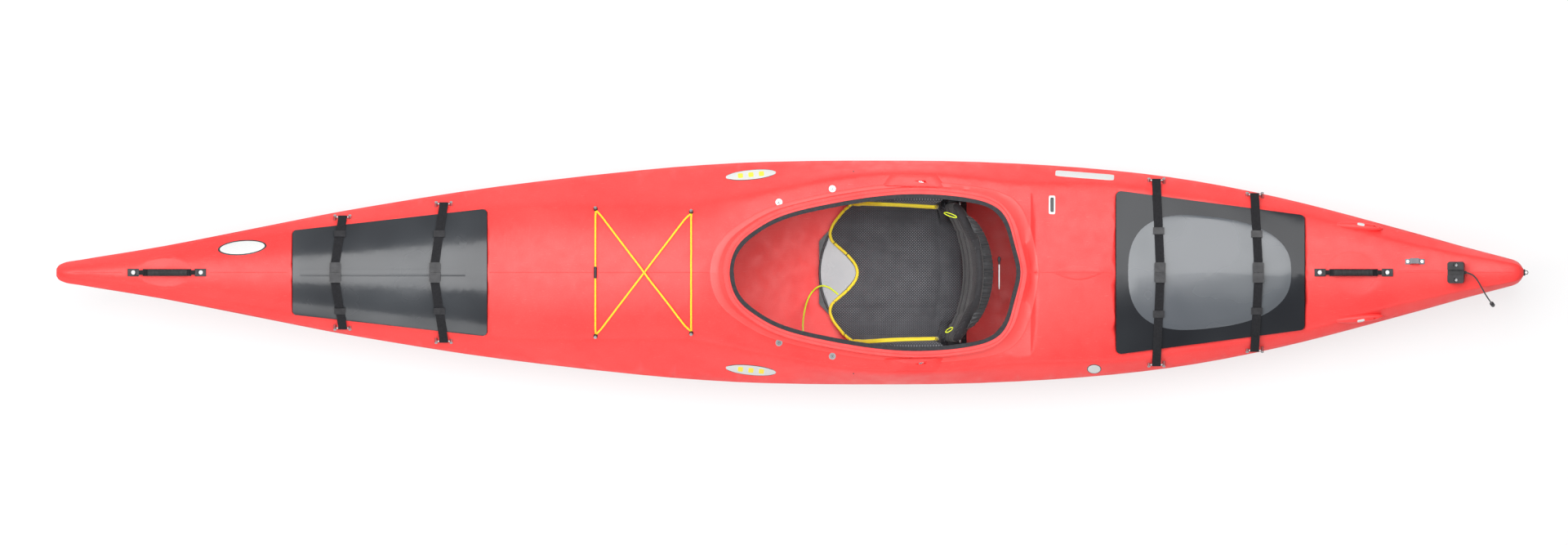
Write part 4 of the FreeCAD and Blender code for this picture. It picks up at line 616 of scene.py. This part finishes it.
def reach_at(z):
    """Distance round the section to a height on the bucket's side."""
    flat, radius = SEAT_HALF - SEAT_BEND, SEAT_BEND - BASE
    drop_to = FLOOR + SEAT_BEND - z
    if drop_to <= 0:
        return flat + radius * math.pi / 2 - drop_to
    return flat + radius * math.acos(min(1, drop_to / radius))


NOSE_REACH = reach_at(60 * MM)


def cushion_place(u, v, rise):
    """A place on the seat cushion: u across from port to starboard, v from nose to back."""
    x = trace(NOSE, abs(u)) * MM
    aft = CUSHION_AFT + SKIRT_LONG * max(0, 1 - (abs(u) * NOSE_REACH / SKIRT_HALF) ** 6)
    x += (aft - x) * v
    s = u * reach_at(trace(WING_HEIGHTS, x / MM) * MM)
    point = tub_point(s, rise)
    point.x = x
    return point, (s, x)


CUSHION_SEAMS = ((102 * MM, 2.6 * MM), (198 * MM, 3.4 * MM))
SEAM_HALF = 7 * MM
CHANNEL_AT, CHANNEL_HALF, CHANNEL_DEPTH = 0.8, 0.03, 2.4 * MM
CUSHION_WAVE = 1.2 * MM


def cushion_rise(u, v):
    """Height of the cushion's face off the bucket's lining."""
    s = cushion_place(u, v, 0)[1][0]
    crown = min(1, max(0, min((1 - abs(u)) * 5.5, v * 6, (1 - v) * 9))) ** 0.5
    rise = 3 * MM + (CUSHION_THICK - 4 * MM) * crown
    for seam, depth in CUSHION_SEAMS:
        rise -= depth * math.exp(-((abs(s) - seam) / SEAM_HALF) ** 2) * crown
    channel = math.exp(-((v - CHANNEL_AT) / CHANNEL_HALF) ** 2) * max(0, 1 - (u / 0.7) ** 4)
    rise -= CHANNEL_DEPTH * channel * crown
    rise += CUSHION_WAVE * math.sin(u * 9) * math.cos(v * 7) * crown
    return rise + WING_SWELL * v * max(0, abs(u) - 0.6) / 0.4 * crown


def seat_cushion():
    """A crowned pad with sewn channels, pinched at its piped edge."""
    rows, columns = 64, 121
    top, bottom, uvs = [], [], []
    for u, v in grid(rows, columns):
        point, uv = cushion_place(u, v, cushion_rise(u, v))
        top.append(point)
        bottom.append(cushion_place(u, v, 0.3 * MM)[0])
        uvs.append(uv)
    mesh = shell_between(top, bottom, rows, columns, "seat_cushion", uvs)
    made = piece("seat_cushion_padded", mesh, "hull", "seat_foam", sharp=60)
    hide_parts("seat_cushion")


def piping(name, points, radius, finish="piping_yellow", body="hull"):
    """A round sewn-in edge cord, as a mesh tube along a smooth line."""
    line = smooth_points(points, 4)
    radii = [radius * 0.55] + [radius] * (len(line) - 2) + [radius * 0.55]
    piece(name, ring_mesh(line, radii, name, 10), body, finish, 80)


def cushion_piping():
    """The nose's piping, and the two pairs of lines along the wings."""
    steps = 44
    nose = [cushion_place(u, 0.008, 6 * MM)[0] for u in evenly(-0.97, 0.97, steps)]
    piping("nose_piping", nose, 4.6 * MM)
    for side, word in SIDES:
        for number in range(2):
            line = []
            for t in evenly(0, 1, steps):
                u, v = side * (0.965 - 0.055 * t - 0.042 * number), 0.015 + 0.875 * t
                line.append(cushion_place(u, v, cushion_rise(u, v) + 1.5 * MM)[0])
            piping("wing_piping_%s_%d" % (word, number + 1), line, 4.8 * MM)


LENS_HALF, LENS_FRONT, LENS_SAG = 106 * MM, 81 * MM, 26 * MM
LIP_AHEAD = 3 * MM


def pan_lens():
    """The pan's bare grey tongue ahead of the cushion's nose, with a dark moulded lip round its front."""
    rows, columns = 14, 41
    lining = FLOOR + PAN_WALL
    top, bottom = [], []
    for u, v in grid(rows, columns):
        front = LENS_FRONT + LENS_SAG * u * u
        aft = max(front + 1 * MM, trace(NOSE, abs(u) * LENS_HALF / NOSE_REACH) * MM - 2 * MM)
        x = front + (aft - front) * v
        rise = (0.4 + 1.6 * min(1, v * 5) ** 0.5) * MM
        top.append(Vector((x, u * LENS_HALF, lining + rise)))
        bottom.append(Vector((x, u * LENS_HALF, lining + 0.2 * MM)))
    mesh = shell_between(top, bottom, rows, columns, "lens")
    piece("seat_pan_tongue", mesh, "hull", "pan_grey")
    lip = [Vector((LENS_FRONT - LIP_AHEAD + LENS_SAG * u * u, LENS_HALF * u, lining + 1.5 * MM))
           for u in evenly(-1, 1, 40)]
    piping("seat_pan_lip", lip, 3.2 * MM, "seat_grey")


def hip_pads():
    """Two upright side pads, crowned inboard."""
    low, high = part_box("hip_pads")
    rows, columns = 16, 34
    for side, word in SIDES:
        top, bottom, uvs = [], [], []
        for u, v in grid(rows, columns, 0):
            x = low.x + (high.x - low.x) * u
            z = low.z + (high.z - low.z) * v
            rise = 2.5 * MM + 11 * MM * min(1, u * 9, (1 - u) * 9, v * 4, (1 - v) * 4) ** 0.5
            top.append(Vector((x, side * (high.y - rise), z)))
            bottom.append(Vector((x, side * high.y, z)))
            uvs.append((x, z))
        mesh = shell_between(top, bottom, rows, columns, "hip_pad", uvs)
        made = piece("hip_pad_" + word, mesh, "hull", "seat_foam", sharp=60)
        if side == PORT:
            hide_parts("hip_pads")


# ---- backrest
HINGE = Vector(HINGES["backrest_tilt"]["pos_m"])
LEAN = math.radians(9)
BACK_HALF, BACK_SAG, BACK_THICK = 188 * MM, 58 * MM, 34 * MM
BACK_FACE = HINGE.x + 10.5 * MM
BACK_RADIUS = (BACK_HALF ** 2 + BACK_SAG ** 2) / (2 * BACK_SAG)
BACK_OUTLINE = ((72, 176), (84, 187), (228, 187), (246, 160), (262, 132), (290, 104), (306, 88), (316, 62))


def bent(y, z, depth):
    """A place on the leaning, curved backrest: distance across it, height, and depth behind its face."""
    turn, radius = math.asin(y / BACK_RADIUS), BACK_RADIUS + depth
    point = Vector((BACK_FACE - BACK_RADIUS + radius * math.cos(turn), radius * math.sin(turn), z))
    return Matrix.Rotation(LEAN, 4, "Y") @ (point - HINGE) + HINGE


def backrest():
    """The padded back, with two sewn channels across it and one down each side."""
    rows, columns = 56, 85
    low, high = BACK_OUTLINE[0][0] * MM, BACK_OUTLINE[-1][0] * MM
    middle = BACK_THICK * 0.5
    front, back, uvs = [], [], []
    for u, v in grid(rows, columns):
        z = low + (high - low) * v
        y = u * trace(BACK_OUTLINE, z / MM) * MM
        crown = min(1, max(0, min((1 - abs(u)) * 7, v * 8, (1 - v) * 7))) ** 0.5
        half = middle * (0.28 + 0.7 * crown)
        dip = sum(2.6 * MM * math.exp(-((v - seam) / 0.022) ** 2) for seam in (0.3, 0.62))
        dip += 3 * MM * math.exp(-((abs(u) - 0.62) / 0.03) ** 2) * (v < 0.72)
        front.append(bent(y, z, middle - half + dip * crown))
        back.append(bent(y, z, middle + half * 0.96))
        uvs.append((u * BACK_HALF, z))
    mesh = shell_between(front, back, rows, columns, "backrest", uvs)
    made = piece("backrest_padded", mesh, "backrest", "back_cloth", 60)
    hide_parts("backrest_pad")


ARM_FORE, ARM_AFT, ARM_WIDE, ARM_HIGH = 34 * MM, 10 * MM, 24 * MM, 11 * MM
ARM_OUT = 212.3 * MM
ARM_POWER = 2 / 0.6


def backrest_arms():
    """Moulded ears that carry the backrest on its pins, curving forward from the pad's sides."""
    rows, columns = 14, 18
    for side, word in SIDES:
        points = []
        for t in evenly(0, 1, rows - 1):
            swell = 0.55 + 0.45 * math.sin(math.pi * min(1, t * 1.3 + 0.18)) ** 0.6
            x = HINGE.x + ARM_AFT - (ARM_FORE + ARM_AFT) * t
            y = side * (ARM_OUT - ARM_WIDE / 2 * (0.5 + 0.35 * t))
            half_wide = side * ARM_WIDE / 4 * (0.6 + 0.3 * swell)
            section = oval(y, HINGE.z, half_wide, ARM_HIGH * swell, 0, columns, ARM_POWER)
            points += [Vector((x, *place)) for place in section]
        faces = grid_faces(rows, columns, closed=True)
        faces.append(tuple(range(columns)))
        faces.append(tuple(len(points) - columns + k for k in range(columns))[::-1])
        piece("backrest_arm_" + word, mesh_from(points, faces, "arm"), "backrest", "back_cloth")


RUFFLE_HALF = 0.93 * 0.86 * BACK_HALF
RUFFLE_DEPTH = 36 * MM


def ruffle():
    """The gathered cover behind the backrest: pleats that open towards its bowed free edge."""
    rows, columns = 26, 361
    top, bottom = [], []
    for u, v in grid(rows, columns):
        spread = math.sqrt(max(0, 1 - u * u))
        pleat = math.sin(u * 88 + 9 * v * u + 1.3 * math.sin(u * 11)) * (0.6 + 0.4 * math.sin(u * 29 + 1))
        z = 262 * MM + 30 * MM * spread ** 0.7 + 3.4 * MM * pleat * (0.4 + 0.6 * v) - 9 * MM * v * v
        depth = BACK_THICK * 0.7 + RUFFLE_DEPTH * spread * v
        top.append(bent(u * RUFFLE_HALF, z, depth))
        bottom.append(bent(u * RUFFLE_HALF, z - 2 * MM - 14 * MM * (1 - v) * spread, depth))
    mesh = shell_between(top, bottom, rows, columns, "ruffle")
    made = piece("backrest_ruffle", mesh, "backrest", "gathered_cloth", 80)
    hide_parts("backrest_band")


ROD_RADIUS = 2.5 * MM
KNOB_LONG, KNOB_RADIUS = 21 * MM, 4.7 * MM
KNOB_ROOT = 2 * MM
KNOB_SHAPE = (0.5, 0.62, 0.6, 0.66, 0.8, 0.95, 1, 1, 0.95, 0.8, 0.45)


def toggle():
    """A bright rod with a dark knob, on the ruffle's free edge."""
    low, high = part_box("backrest_toggle")
    middle = (low + high) / 2
    rod_end = high.y - KNOB_LONG
    path = [Vector((middle.x, y, middle.z)) for y in evenly(low.y, rod_end, 8)]
    radii = [ROD_RADIUS * 0.6] + [ROD_RADIUS] * 7 + [ROD_RADIUS * 0.9]
    rod = piece("backrest_rod", ring_mesh(path, radii, "rod"), "backrest", "screw_steel")
    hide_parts("backrest_toggle")
    path = [Vector((middle.x, y, middle.z)) for y in evenly(rod_end - KNOB_ROOT, high.y, 10)]
    radii = [KNOB_RADIUS * share for share in KNOB_SHAPE]
    piece("backrest_knob", ring_mesh(path, radii, "knob"), "backrest", "fitting_black")


LOOP_COLUMNS = ((STARBOARD, "starboard", 1156, 1173), (PORT, "port", 1158, 1168))
LOOP_HEIGHT, LOOP_TWIST = 236 * MM, 2 * MM


def pull_loops():
    """Small lime finger loops at the backrest's upper corners."""
    for side, word, fore, aft in LOOP_COLUMNS:
        a = Vector((along(fore), side * 171 * MM, LOOP_HEIGHT))
        b = Vector((along(aft) - 4 * MM, side * 158 * MM, LOOP_HEIGHT + 12 * MM))
        middle, run = (a + b) / 2, (b - a) / 2
        width = UP.cross(run).normalized() * 4 * MM
        ring = [middle + run * c + width * s + UP * LOOP_TWIST * 2 * s * c for c, s in circle(24)]
        piping("pull_loop_" + word, ring + ring[:1], 1.4 * MM, "cord_lime", "backrest")


# ---- handles
GRIP_HALF, GRIP_RADIUS = 58.5 * MM, 9.6 * MM
RIB_PITCH, RIB_DEPTH, RIBBED_SHARE = 5.6 * MM, 0.9 * MM, 0.62
COLLAR_RISE, COLLAR_SHARE = 0.7 * MM, 0.74


def grip(end):
    """A ribbed rubber grip, slightly bowed, over the handle's webbing."""
    run = Vector(HINGES[end + "_handle_swing"]["axis"]).normalized()
    low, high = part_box(end + "_handle_grip")
    middle = (low + high) / 2
    path, radii = [], []
    for t in evenly(-1, 1, 150):
        path.append(middle + run * GRIP_HALF * t + UP * (1.4 * (1 - t * t) - 0.8) * MM)
        rib = 0.5 - 0.5 * math.cos(2 * math.pi * t * GRIP_HALF / RIB_PITCH)
        groove = RIB_DEPTH * rib if abs(t) < RIBBED_SHARE else 0
        collar = COLLAR_RISE * math.exp(-((abs(t) - COLLAR_SHARE) / 0.05) ** 2)
        end_round = max(0.12, 1 - max(0, abs(t) - 0.94) / 0.06) ** 0.5
        radii.append((GRIP_RADIUS + collar - groove) * end_round)
    made = piece(end + "_handle_grip_ribbed", ring_mesh(path, radii, "grip", 28, run), end + "_handle",
                 "seal_rubber", sharp=70)
    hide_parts(end + "_handle_grip")


SCREW_SPREAD = 30 * MM


def middles(node):
    """The middle of each loose solid of a node, for solids far smaller than the gaps between them."""
    groups = []
    for vertex in frame["nodes"][node].data.vertices:
        near = [group for group in groups if (group[0] - vertex.co).length < SCREW_SPREAD]
        if near:
            near[0].append(vertex.co.copy())
        else:
            groups.append([vertex.co.copy()])
    found = []
    for group in groups:
        low, high = [Vector([pick(p[axis] for p in group) for axis in range(3)]) for pick in (min, max)]
        found.append((low + high) / 2)
    return found


WASHER_ASIDE = 6 * MM
WASHER_RINGS = ((0.1, 6.6), (0.5, 6.4), (0.9, 5.6), (1.0, 4.6))


def handle_washers():
    """Bright cup washers round the handle screws' heads."""
    plates = tree_of("handle_end_plates")
    for number, middle in enumerate(middles("handle_screws")):
        found = drop(plates, middle.x + WASHER_ASIDE, middle.y)
        if found and found[0].z > middle.z - SCREW_SPREAD:
            at, normal = found
            at += Vector((middle.x - at.x, 0, normal.x / normal.z * WASHER_ASIDE))
            path = [at + normal * rise * MM for rise, _ in WASHER_RINGS]
            radii = [radius * MM for _, radius in WASHER_RINGS]
            mesh = ring_mesh(path, radii, "washer", 32, normal)
            piece("handle_washer_%d" % (number + 1), mesh, "hull", "screw_steel")


def painted_screw_shade():
    """Flat dark rings painted as shade: one in the gap round each deck screw's head and one in its drive recess.
    """
    screws = tree_of("deck_screws")
    count = 24
    for number, middle in enumerate(middles("deck_screws")):
        found = drop(screws, middle.x, middle.y)
        if not found:
            continue
        at, normal = found
        side = normal.orthogonal().normalized()
        other = normal.cross(side)
        # Painted shade: flat black rings laid just over the screw, where the gap and the recess are in shade.
        for word, inner, outer in (("gap_shade", 4.1 * MM, 4.9 * MM), ("drive_shade", 0.2 * MM, 1.7 * MM)):
            rim = [at + (side * c + other * s) * reach + normal * 0.25 * MM
                   for c, s in circle(count) for reach in (inner, outer)]
            faces = [[(2 * k + step) % (2 * count) for step in (0, 1, 3, 2)] for k in range(count)]
            piece("deck_screw_%s_%d" % (word, number + 1), mesh_from(rim, faces, word), "hull", "seal_rubber")


# ---- deck bungee
BUNGEE_RADIUS = 2.75 * MM
BUNGEE_STEPS = 18
ANCHOR_SPREAD = 30 * MM
BUNGEE_RUNS = (("front", PORT, "front", STARBOARD, 2.2, 0), ("rear", PORT, "rear", STARBOARD, 2, 0),
               ("front", PORT, "rear", STARBOARD, 2, 0), ("front", STARBOARD, "rear", PORT, 2, 6))


def bungee():
    """Shock cord: a line across each pair of buttons, and two that cross, one over the other."""
    buttons = [vertex.co for vertex in frame["nodes"]["bungee_anchors"].data.vertices]
    columns = sorted({round(p.x, 2) for p in buttons})
    spots = {}
    for word, column in (("front", columns[0]), ("rear", columns[-1])):
        for side in (PORT, STARBOARD):
            mine = [p for p in buttons if abs(p.x - column) < ANCHOR_SPREAD and p.y * side > 0]
            spots[word, side] = sum(mine, Vector()) / len(mine)
    for number, (a_end, a_side, b_end, b_side, gap_shade, hump) in enumerate(BUNGEE_RUNS):
        a, b = spots[a_end, a_side], spots[b_end, b_side]
        points = []
        for t in evenly(0, 1, BUNGEE_STEPS):
            at, normal = drop(HULL, a.x + (b.x - a.x) * t, a.y + (b.y - a.y) * t)
            rise = gap_shade + hump * max(0, 1 - 5 * abs(t - 0.5))
            points.append(at + normal * (BUNGEE_RADIUS + rise * MM))
        nurbs("bungee_run_%d" % (number + 1), points, BUNGEE_RADIUS, "bungee_yellow")
    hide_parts("deck_bungee")


# ---- free cords
PARK_ROUTE = ((1927, 0, 279), (1943, -3, 280), (1958, -16, 277), (1971, -38, 273), (1984, -62, 263),
              (1996, -80, 243), (2002, -88, 216))
SEAT_ROUTE = ((131, -63, 22), (118, -52, 22), (102, -41, 22), (86, -37, 24), (70, -42, 20), (52, -60, 10),
              (41, -84, 20), (34, -112, 60), (30, -143, 116), (30, -166, 182), (32, -174, 236),
              (32, -175, 262))
PARK_RADIUS, SEAT_CORD_RADIUS = 2 * MM, 2.5 * MM


def spline_length(made):
    """Length of a cord's own line."""
    thin = made.data.copy()
    thin.bevel_depth = 0
    probe = bpy.data.objects.new("probe", thin)
    mesh = bpy.data.meshes.new_from_object(probe)
    total = 0
    for edge in mesh.edges:
        a, b = (mesh.vertices[k].co for k in edge.vertices)
        total += (a - b).length
    bpy.data.objects.remove(probe)
    return total


def free_cords():
    """The park block's cord with its knot, and the cord from the seat."""
    park = [Vector(p) * MM for p in PARK_ROUTE]
    cord = nurbs("park_cord_braid", park, PARK_RADIUS, "cord_black")
    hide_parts("park_cord")
    path, radii = [], []
    for k in range(-6, 7):
        path.append(park[0] + Vector((k * 0.8, 0, 0.1)) * MM)
        lay_marks = 0.35 * math.cos((k + 6) * 2.4)
        radii.append((4.9 * math.sqrt(max(0.02, 1 - (k / 6.2) ** 2)) + lay_marks) * MM)
    knot = piece("park_cord_knot", ring_mesh(path, radii, "knot", 18), "hull", "cord_black")
    round(spline_length(cord), 4)
    seat = [Vector(p) * MM for p in SEAT_ROUTE]
    cord = nurbs("seat_cord_braid", seat, SEAT_CORD_RADIUS, "cord_lime")
    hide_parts("seat_cord")
    round(spline_length(cord), 4)


# ---- deck details
RIM_LIFT, FACE_LIFT, BAR_LIFT, PLUG_LIFT = 0.5 * MM, 0.8 * MM, 1.1 * MM, 0.3 * MM
BAR_PITCH = 30 * MM


def film(name, finish, place, long, wide, lift, turn=0.0, count=48, power=2.0, rings=6, tree=HULL):
    """A thin film on the deck, of a half length and half width in millimetres, turned by degrees."""
    outline = oval(*place, long * MM, wide * MM, math.radians(turn), count, power)
    lay(tree, outline, lift, name, "hull", finish, rings)


def badges():
    """Film badges: one by the bow, one on each side with three bars, a strip, a plate and a disc."""
    bow = spot(297, 188.8)
    film("bow_badge_rim", "dark_film", bow, 79, 24.5, RIM_LIFT, 5)
    film("bow_badge", "silver_film", bow, 75, 21, FACE_LIFT, 5)
    for side, word in SIDES:
        x, y = spot(919.5, 97.6, side)
        turn = side * 5.5
        film("side_badge_rim_" + word, "dark_film", (x, y), 81, 16.5, RIM_LIFT, turn, power=2.1)
        film("side_badge_" + word, "silver_film", (x, y), 79.5, 15.4, FACE_LIFT, turn, power=2.1)
        for k in range(3):
            away = (k - 1) * BAR_PITCH
            place = (x + away, y + away * math.tan(math.radians(turn)))
            film("side_badge_bar_%s_%d" % (word, k + 1), "yellow_film", place, 10.5, 9.5, BAR_LIFT, turn,
                 24, 5, 3)
    film("deck_strip", "silver_film", spot(1328, 96.8), 95, 9.5, RIM_LIFT, -4.5, 64, 9)
    film("deck_plate", "silver_film", spot(1288, 133), 10.5, 30, RIM_LIFT, power=8)
    film("deck_plate_panel", "dark_film", spot(1288, 133), 6, 24, FACE_LIFT, power=6)
    film("side_disc_rim", "dark_film", spot(1339.5, 333.7), 23, 15, RIM_LIFT)
    film("side_disc", "silver_film", spot(1339.5, 333.7), 21, 13.6, FACE_LIFT)


def cable_inserts():
    """The pale insert in each cable exit on the aft deck."""
    exits = tree_of("hull_shell", "rudder_cable_fairings")
    for side, word in SIDES:
        film("cable_insert_" + word, "silver_film", spot(1666, 155.5, side), 13, 4.5, FACE_LIFT, side * -12,
             32, 4, 3, exits)


def small_holes():
    """Two small dark plugs beside the cockpit."""
    for side, word in SIDES:
        film("side_plug_" + word, "fitting_black", spot(1045, 93, side), 3, 3, PLUG_LIFT, count=20, rings=2)


SEAM_PROFILE = ((-1, -0.6), (-0.55, 0.75), (0, 1), (0.55, 0.75), (1, -0.6))
SEAM_HIGH, SEAM_HALF_WIDE = 0.7 * MM, 1.3 * MM
ASIDE = Vector((0, 1, 0))
SEAMS = (("seam_bow", 90, 150, 0, SEAM_HALF_WIDE), ("seam_fore", 258, 352, 0, SEAM_HALF_WIDE),
         ("seam_mid", 597, 868, 0, SEAM_HALF_WIDE), ("seam_aft", 1262, 1358, 0, SEAM_HALF_WIDE),
         ("seam_stern", 1712, 1768, 0, SEAM_HALF_WIDE), ("seam_tail", 1800, 1852, 0, SEAM_HALF_WIDE),
         ("seam_stern_second", 1712, 1768, 5 * MM, 0.9 * MM))


def seams():
    """Fine mould lines along the deck, each between two columns."""
    for name, start, end, y, half_wide in SEAMS:
        places = [(along(column), y, ASIDE) for column in evenly(start, end, 90)]
        ridge(name, HULL, places, SEAM_PROFILE, half_wide, SEAM_HIGH)


EGG_SHARES = ((0, 0), (.004, .13), (.018, .281), (.0435, .411), (.0857, .536), (.142, .661), (.198, .745),
              (.31, .849), (.451, .943), (.619, 1), (.732, .988), (.844, .932), (.9, .865), (.928, .797),
              (.9565, .646), (.979, .37), (1, 0))


def cockpit_line(grow_long, grow_wide):
    """The cockpit's outline on one side, from bow to stern, grown outwards."""
    low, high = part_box("cockpit_edge_trim")
    middle, half_long = (low.x + high.x) / 2, (high.x - low.x) / 2
    line = []
    for fore, out in EGG_SHARES:
        away = half_long * (2 * fore - 1)
        line.append(Vector((middle + away * (1 + grow_long / half_long), (high.y + grow_wide) * out, 0)))
    return smooth_points(line)


APRON_RINGS = ((0.0, -1.5), (0.06, 1.2), (0.14, 2.4), (0.5, 2.6), (1.0, 2.6))


def apron():
    """The flat ledge of the deck round the coaming, a little proud of the hull."""
    inner, outer = cockpit_line(6 * MM, 10 * MM), cockpit_line(58 * MM, 34 * MM)
    for side, word in SIDES:
        points = []
        for share, rise in APRON_RINGS:
            for a, b in zip(outer, inner):
                at = a.lerp(b, share)
                hit, normal = drop(HULL, at.x, side * at.y)
                points.append(hit + normal * rise * MM)
        faces = grid_faces(len(APRON_RINGS), len(inner))
        # The ledge's lighter red is painted light on a ledge of the hull's own plastic.
        piece("coaming_apron_" + word, mesh_from(points, faces, "apron"), "hull", "apron_red_painted_light", 60)


LID_OVAL_HALF, LID_OVAL_WIDE, LID_OVAL_TAPER = 102.2 * PIXEL, 70 * PIXEL, 0.16
LID_RIDGE_PROFILE = ((-1, -0.3), (-0.5, 0.5), (0, 1), (0.5, 0.5), (1, -0.3))


def lid_forms():
    """The rear lid's raised flat oval, and the ridge along the front lid."""
    x = along(1480.8)
    outline = [(px, py * (1 - LID_OVAL_TAPER * (px - x) / LID_OVAL_HALF))
               for px, py in oval(x, 0, LID_OVAL_HALF, LID_OVAL_WIDE, 0, 96, 2.6)]
    # The oval's lighter grey is painted reflection.
    lay(LIDS["rear"], outline, 2 * MM, "rear_lid_oval", "rear_hatch", "hatch_painted_reflection", 14)
    low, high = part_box("front_hatch_lid")
    places = [(x, 0.1 * MM, ASIDE) for x in evenly(low.x + 22 * MM, high.x - 62 * MM, 60)]
    ridge("front_lid_ridge", LIDS["front"], places, LID_RIDGE_PROFILE, 11 * MM, 1.5 * MM, "front_hatch",
          "hatch_black")


LENS_START, LENS_LENGTH = 1285, 70
LENS_EDGE, LENS_BELLY = 2 * MM, 22 * MM
BULGE_CORNERS = ((1078, 112), (1160, 113.5), (1148, 96.5), (1090, 95.5))


def mould_marks():
    """Lens marks on the aft deck, side bulges by the coaming, and the rings under the carry handles."""
    for side, word in SIDES:
        outline = []
        for t in evenly(0, 1, 24):
            outline.append((along(LENS_START + LENS_LENGTH * t),
                            side * (LENS_EDGE + LENS_BELLY * math.sin(math.pi * t))))
        outline += [(x, side * LENS_EDGE) for x, _ in outline[-2:0:-1]]
        lay(HULL, outline, 0.6 * MM, "lens_mark_" + word, "hull", "hull_red", rings=4)
        corners = [Vector(spot(*corner, side)) for corner in BULGE_CORNERS]
        outline = []
        for a, b in zip(corners, corners[1:] + corners[:1]):
            outline += [tuple(a.lerp(b, t)) for t in evenly(0, 1, 10)[:-1]]
        lay(HULL, outline, 4.5 * MM, "side_bulge_" + word, "hull", "hull_red", rings=5, dome=2.5 * MM)
    ring_mark("stern_ring_mark", along(1654), 31 * PIXEL, 25 * PIXEL)
    ring_mark("bow_ring_mark", along(203.5), 32 * PIXEL, 20.5 * PIXEL)


RING_PROFILE = ((-1, -0.6), (0, 1), (1, -0.6))


def ring_mark(name, x, half_long, half_wide):
    """A fine raised circle moulded in the deck."""
    places = [(x + half_long * c, half_wide * s, Vector((c, s, 0))) for c, s in circle(96)]
    ridge(name, HULL, places, RING_PROFILE, 1.5 * MM, SEAM_HIGH, closed=True)


# ---- studio
FLOOR_REACH, FLOOR_DROP = 30, 0.5 * MM
FLOOR_GLOW = 0.72
WORLD_LEVEL = 0.34
LAMPS = (("top_softbox", (-0.2, 0.6, 3.3), 3.0, 6.4, 250), ("side_softbox", (0.4, -4.2, 2.0), 1.2, 6, 50),
         ("bow_softbox", (-4.6, 0.8, 2.4), 2, 2, 26))


def studio():
    """A pale floor that keeps the object's shadow, a white world and three soft lamps."""
    corners = [(x * FLOOR_REACH, y * FLOOR_REACH, -FLOOR_DROP)
               for x, y in ((-1, -1), (1, -1), (1, 1), (-1, 1))]
    mesh = mesh_from(corners, [(0, 1, 2, 3)], "floor")
    floor = bpy.data.objects.new("floor", mesh)
    bpy.context.scene.collection.objects.link(floor)
    pale = Finish("floor_white", (0.82, 0.82, 0.83), 0.9)
    rays = pale.node("ShaderNodeLightPath").outputs
    seen = pale.maths("MAXIMUM", rays["Is Camera Ray"], rays["Is Glossy Ray"])
    seen = pale.maths("MAXIMUM", seen, rays["Is Transmission Ray"])
    mix = pale.node("ShaderNodeMixShader")
    pale.link(pale.maths("MULTIPLY", seen, FLOOR_GLOW), mix.inputs[0])
    pale.link(pale.shader.outputs[0], mix.inputs[1])
    pale.link(pale.node("ShaderNodeEmission").outputs[0], mix.inputs[2])
    pale.link(mix.outputs[0], pale.tree.nodes["Material Output"].inputs["Surface"])
    mesh.materials.append(pale.material)

    world = bpy.data.worlds.new("studio")
    bpy.context.scene.world = world
    world.use_nodes = True
    back = world.node_tree.nodes["Background"]
    back.inputs["Color"].default_value = (1, 1, 1, 1)
    back.inputs["Strength"].default_value = WORLD_LEVEL
    for name, place, wide, long, power in LAMPS:
        lamp = bpy.data.lights.new(name, "AREA")
        lamp.shape = "RECTANGLE"
        lamp.size, lamp.size_y = long, wide
        lamp.energy = power
        made = bpy.data.objects.new(name, lamp)
        made.location = place
        made.rotation_euler = (-Vector(place)).to_track_quat("-Z", "Y").to_euler()
        bpy.context.scene.collection.objects.link(made)


CAMERA_WIDTH = 4.49
CAMERA_PLACE = (-24 * MM, 0, 6)


def camera():
    """Straight down, as in the photograph's top view."""
    data = bpy.data.cameras.new("camera")
    data.type = "ORTHO"
    data.ortho_scale = CAMERA_WIDTH
    made = bpy.data.objects.new("camera", data)
    made.location = CAMERA_PLACE
    bpy.context.scene.collection.objects.link(made)
    bpy.context.scene.camera = made
    bpy.context.scene.view_settings.view_transform = "Standard"


# ---- making
camera()
free_cords()
seat_cushion()
cushion_piping()
pan_lens()
hip_pads()
backrest()
backrest_arms()
ruffle()
toggle()
pull_loops()
for end_name in ("bow", "stern"):
    grip(end_name)
handle_washers()
painted_screw_shade()
bungee()
badges()
seams()
apron()
lid_forms()
mould_marks()
small_holes()
cable_inserts()
studio()
